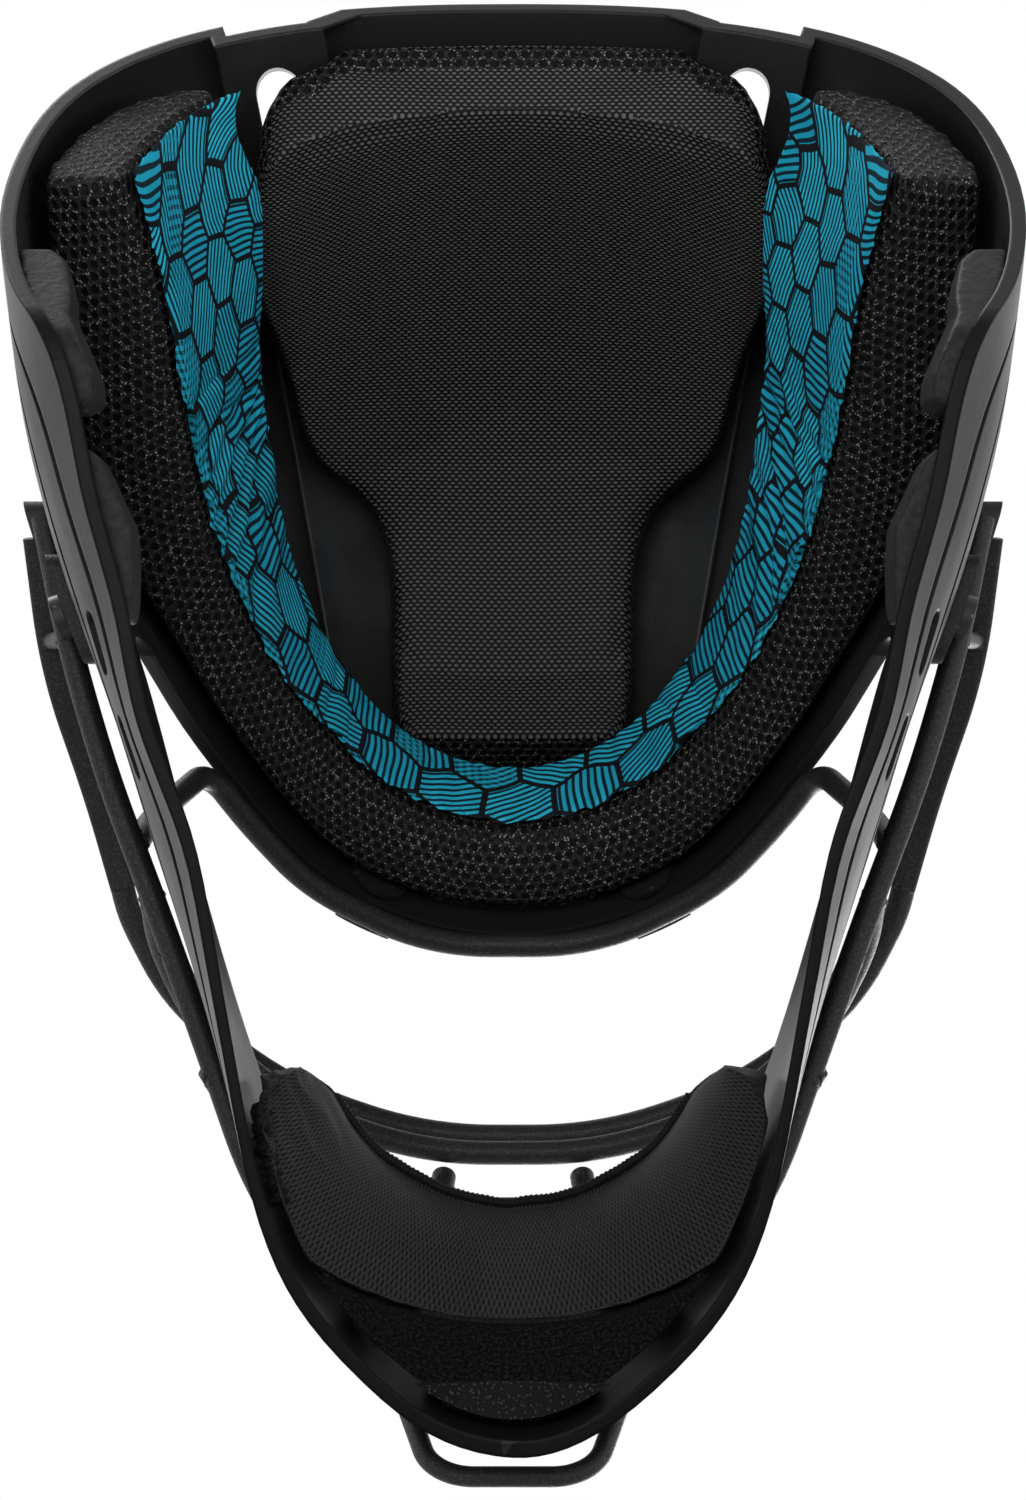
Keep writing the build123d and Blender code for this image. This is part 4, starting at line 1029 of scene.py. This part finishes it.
def ribbed_tube(name, line, radius, sides, pitch, depth):
    """A tube along a line of places, pinched once for each rib, with narrow ends."""
    for turn in range(EVENING_TURNS):
        line[1:-1] = (line[:-2] + 2 * line[1:-1] + line[2:]) / 4
    lengths = np.concatenate(((0,), np.cumsum(np.linalg.norm(np.diff(line, axis=0), axis=1))))
    count = int(lengths[-1] / pitch * RINGS_PER_RIB)
    walked = np.linspace(0, lengths[-1], count)
    line = np.stack([np.interp(walked, lengths, line[:, axis]) for axis in range(3)], axis=1)
    heading = np.gradient(line, axis=0)
    heading /= np.linalg.norm(heading, axis=1)[:, None]
    side = np.cross(heading, (0, 0, 1))
    side /= np.linalg.norm(side, axis=1)[:, None]
    up = np.cross(side, heading)
    swelling = 1 - depth * np.cos(2 * math.pi * walked / pitch)
    swelling[[0, -1]] = TIP_SIZE
    places, faces = [], []
    for ring in range(count):
        for step in range(sides):
            angle = 2 * math.pi * step / sides
            way = math.cos(angle) * side[ring] + math.sin(angle) * up[ring]
            places.append(line[ring] + radius * swelling[ring] * way)
    for ring in range(count - 1):
        for step in range(sides):
            here, there = ring * sides, (ring + 1) * sides
            after = (step + 1) % sides
            faces.append((here + step, here + after, there + after, there + step))
    faces.append(tuple(reversed(range(sides))))
    faces.append(tuple(range((count - 1) * sides, count * sides)))
    mesh = bpy.data.meshes.new(name)
    mesh.from_pydata([tuple(place) for place in places], [], faces)
    mesh.shade_smooth()
    print(name, "length, mm:", round(1000 * lengths[-1], 1))
    return link(name, mesh)


def trim(name, line, radius, pitch, depth):
    """One ribbed tube in the jersey's finish, riding on the helmet."""
    tube = ribbed_tube(name, line, radius, SEAM_SIDES, pitch, depth)
    dress(tube, "jersey_mesh")
    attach(tube, "root")


print("rings in each rib:", RINGS_PER_RIB)

# %% Make the trims
SEAM_SHARE = 0.97
HEM_SHARE = 0.85
CORNER_FROM = 0.78
CORNER_TO = 1.08
OVERLOCK_SHARE = 0.8

base_end = SEAM_SHARE * half_length(chin_base, round_the_chin)
seam_line = edge_line(chin, round_the_chin, across_of, -base_end, base_end)
seam_line = (seam_line + edge_line(chin_base, round_the_chin, inner_of, -base_end, base_end)) / 2
trim("chin_seam", seam_line, radius=0.0008, pitch=0.0016, depth=0.18)
chin_end = HEM_SHARE * half_length(chin, round_the_chin)
hem_line = edge_line(chin, round_the_chin, inner_of, -chin_end, chin_end, sunk=0.0004)
trim("chin_hem", hem_line, radius=0.0011, pitch=0.0011, depth=0.12)
corner_from, corner_to = CORNER_FROM * chin_end, CORNER_TO * chin_end
corner_line = edge_line(chin, round_the_chin, across_of, corner_from, corner_to, sunk=0.0006)
trim("cover_corner", corner_line, radius=0.0019, pitch=0.0021, depth=0.3)
liner_end = OVERLOCK_SHARE * half_length(liner, round_the_head)
overlock_line = edge_line(liner, round_the_head, outer_of, -liner_end, liner_end, sunk=0.0006)
trim("liner_overlock", overlock_line, radius=0.0008, pitch=0.0018, depth=0.25)

# %% [markdown]
# ## Weld beads
#
# Every wire of the cage is coped to the one that it meets, with a hair of room for the weld. The bead that
# fills it is a lumpy ring, drawn with the same ribbed tube as the seams. The rings' places come from the
# wires: where many points of one wire lie within a hair of another, their outline is the joint.

# %% Weld beads
WELD_REACH = 0.00035
WELD_RADIUS = 0.00085
WELD_SIDES = 6
WELD_PITCH = 0.0019
WELD_RIPPLE = 0.2
WELD_BINS = 16
BINS_FILLED = 0.7
RING_LEAST = 0.0018
RING_MOST = 0.0055
JOINT_APART = 0.009


def joints_of(points):
    """Splits points into groups that lie well apart."""
    groups = []
    left = points
    while len(left):
        near = np.linalg.norm(left - left[0], axis=1) < JOINT_APART
        groups.append(left[near])
        left = left[~near]
    return groups


def outline_of(points):
    """The outer ring of a flat group of points, in order round its middle, or nothing if it is no ring."""
    away = points - points.mean(axis=0)
    first, second = np.linalg.svd(away, full_matrices=False)[2][:2]
    turn, reach = np.arctan2(away @ second, away @ first), np.hypot(away @ first, away @ second)
    bins = ((turn + math.pi) / (2 * math.pi) * WELD_BINS).astype(int) % WELD_BINS
    filled = [bins == step for step in range(WELD_BINS) if (bins == step).any()]
    ring = [points[inside][reach[inside].argmax()] for inside in filled]
    round_enough = len(ring) > BINS_FILLED * WELD_BINS and RING_LEAST < reach.max() < RING_MOST
    return np.array(ring) if round_enough else None


cage = [entry["node"] for entry in frame["record"]["subparts"] if entry["material_slot"] == "cage"]
graph = bpy.context.evaluated_depsgraph_get()
trees = {name: BVHTree.FromObject(nodes[name], graph) for name in cage}
wires = {name: points_of(nodes[name].data) for name in cage}


def points_near(name, other):
    """The points of one wire that lie within a hair of another."""
    found = [point for point in wires[name] if trees[other].find_nearest(Vector(point), WELD_REACH)[0]]
    return np.array(found).reshape(-1, 3)


beads = []
for index, name in enumerate(cage):
    for other in cage[index + 1:]:
        contact = max(points_near(name, other), points_near(other, name), key=len)
        for group in joints_of(contact):
            ring = outline_of(group) if len(group) >= WELD_BINS else None
            if ring is not None:
                closed = np.concatenate((ring, ring[:2]))
                name_of_bead = f"bead_{len(beads)}"
                bead = ribbed_tube(name_of_bead, closed, WELD_RADIUS, WELD_SIDES, WELD_PITCH, WELD_RIPPLE)
                beads.append(bead)
print("weld beads:", len(beads))
with bpy.context.temp_override(active_object=beads[0], selected_editable_objects=beads):
    bpy.ops.object.join()
welds = beads[0]
welds.name = "weld_beads"
dress(welds, "cage")
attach(welds, "root")

# %% [markdown]
# ## Grey pads inside the rim
#
# The four moulded pads inside the ear and jaw rim are firm, so they are only rounded, not swollen.

# %% Rim pads
for side in ("left", "right"):
    for place in ("ear", "jaw"):
        rim_pad = pad(f"{place}_pad_{side}", f"{place}_cushion_{side}", voxel=0.001, rounding=6, inset=0)
        dress(rim_pad, "grey_foam")

# %% [markdown]
# ## The floor
#
# The floor is a pale sheet that is only there from above. The picture's own camera stands under it, so its
# back lets every ray through, and rays on their way to a lamp pass as well. Near the helmet it is plain
# paper that takes the shadow. Further away it fades into an even white, as a sweep of studio paper does,
# for the camera and for mirror-like rays, so that it doesn't light the helmet.

# %% Floor
FLOOR_HALF = 6.0
FLOOR_NEAR = 0.3
FLOOR_FAR = 0.85
PAPER_CLOUDS = 0.05


def floor_paper():
    """Pale paper that ends in white, open from below and to the rays that look for a lamp."""
    material, tree, shader = blank_material("floor_paper", (0.8, 0.8, 0.8), 0.9)
    place = object_place(tree)
    tone = mix_colour(tree, fractal(tree, place, PAPER_CLOUDS, 3), (0.79, 0.79, 0.79), (0.82, 0.82, 0.82))
    tree.links.new(tone, shader.inputs["Base Color"])
    rays = grow(tree, "LightPath").outputs
    looking = maths(tree, "MAXIMUM", rays["Is Camera Ray"], rays["Is Glossy Ray"])
    far = ramp(tree, vector_maths(tree, "LENGTH", place).outputs[1], FLOOR_NEAR, FLOOR_FAR)
    glow = grow(tree, "Emission", (1, 1, 1, 1), 1.0)
    share = maths(tree, "MULTIPLY", looking, far)
    paper = grow(tree, "MixShader", share, shader.outputs[0], glow.outputs[0])
    open_to = maths(tree, "MAXIMUM", grow(tree, "NewGeometry").outputs["Backfacing"], rays["Is Shadow Ray"])
    clear = grow(tree, "BsdfTransparent")
    joined = grow(tree, "MixShader", open_to, paper.outputs[0], clear.outputs[0])
    tree.links.new(joined.outputs[0], tree.nodes["Material Output"].inputs["Surface"])
    return material


floor_mesh = bpy.data.meshes.new("floor")
corners = [(x * FLOOR_HALF, y * FLOOR_HALF, 0) for x, y in ((-1, -1), (1, -1), (1, 1), (-1, 1))]
floor_mesh.from_pydata(corners, [], [(0, 1, 2, 3)])
floor_mesh.materials.append(floor_paper())
floor = link("floor", floor_mesh)
print("floor, metres:", 2 * FLOOR_HALF, "square")

# %% [markdown]
# ## Lamps and world
#
# Two tall soft boxes beside the helmet draw the long grey reflections on its flanks, and one broad lamp
# under the table lights the inside. Two more from above serve the other views. The white behind the helmet
# is the world, which the camera and the mirror-like rays see at full strength, while it lights the cloth
# only faintly.

# %% Lamps and world
AMBIENT = 0.15


def soft_box(name, place, aim, width, height, watts):
    """A rectangular area lamp that points at a place."""
    data = bpy.data.lights.new(name, "AREA")
    data.shape = "RECTANGLE"
    data.size, data.size_y = width, height
    data.energy = watts
    lamp = bpy.data.objects.new(name, data)
    lamp.location = place
    lamp.rotation_mode = "QUATERNION"
    lamp.rotation_quaternion = (Vector(aim) - Vector(place)).to_track_quat("-Z", "Y")
    bpy.context.collection.objects.link(lamp)


middle = (cad_low + cad_high) / 2
for side, sign in (("left", 1), ("right", -1)):
    soft_box(f"side_box_{side}", (sign * 1.0, 0.1, -0.35), middle, width=0.5, height=1.3, watts=6)
soft_box("under_box", (0.15, 0.45, -1.3), middle, width=1.0, height=0.6, watts=15)
soft_box("top_box", (-0.5, -0.9, 1.6), middle, width=1.2, height=1.0, watts=26)
soft_box("rear_box", (0.7, 1.3, 1.2), middle, width=0.9, height=0.9, watts=14)

world = bpy.data.worlds.new("studio")
scene.world = world
world.use_nodes = True
sky = world.node_tree
seen = grow(sky, "LightPath").outputs
mirrored = maths(sky, "MAXIMUM", seen["Is Glossy Ray"], seen["Is Transmission Ray"])
bright = maths(sky, "MAXIMUM", seen["Is Camera Ray"], mirrored)
background = sky.nodes["Background"]
background.inputs["Color"].default_value = (1, 1, 1, 1)
sky.links.new(ramp(sky, bright, 0.0, 1.0, AMBIENT, 1.0), background.inputs["Strength"])
scene.view_settings.view_transform = "Standard"
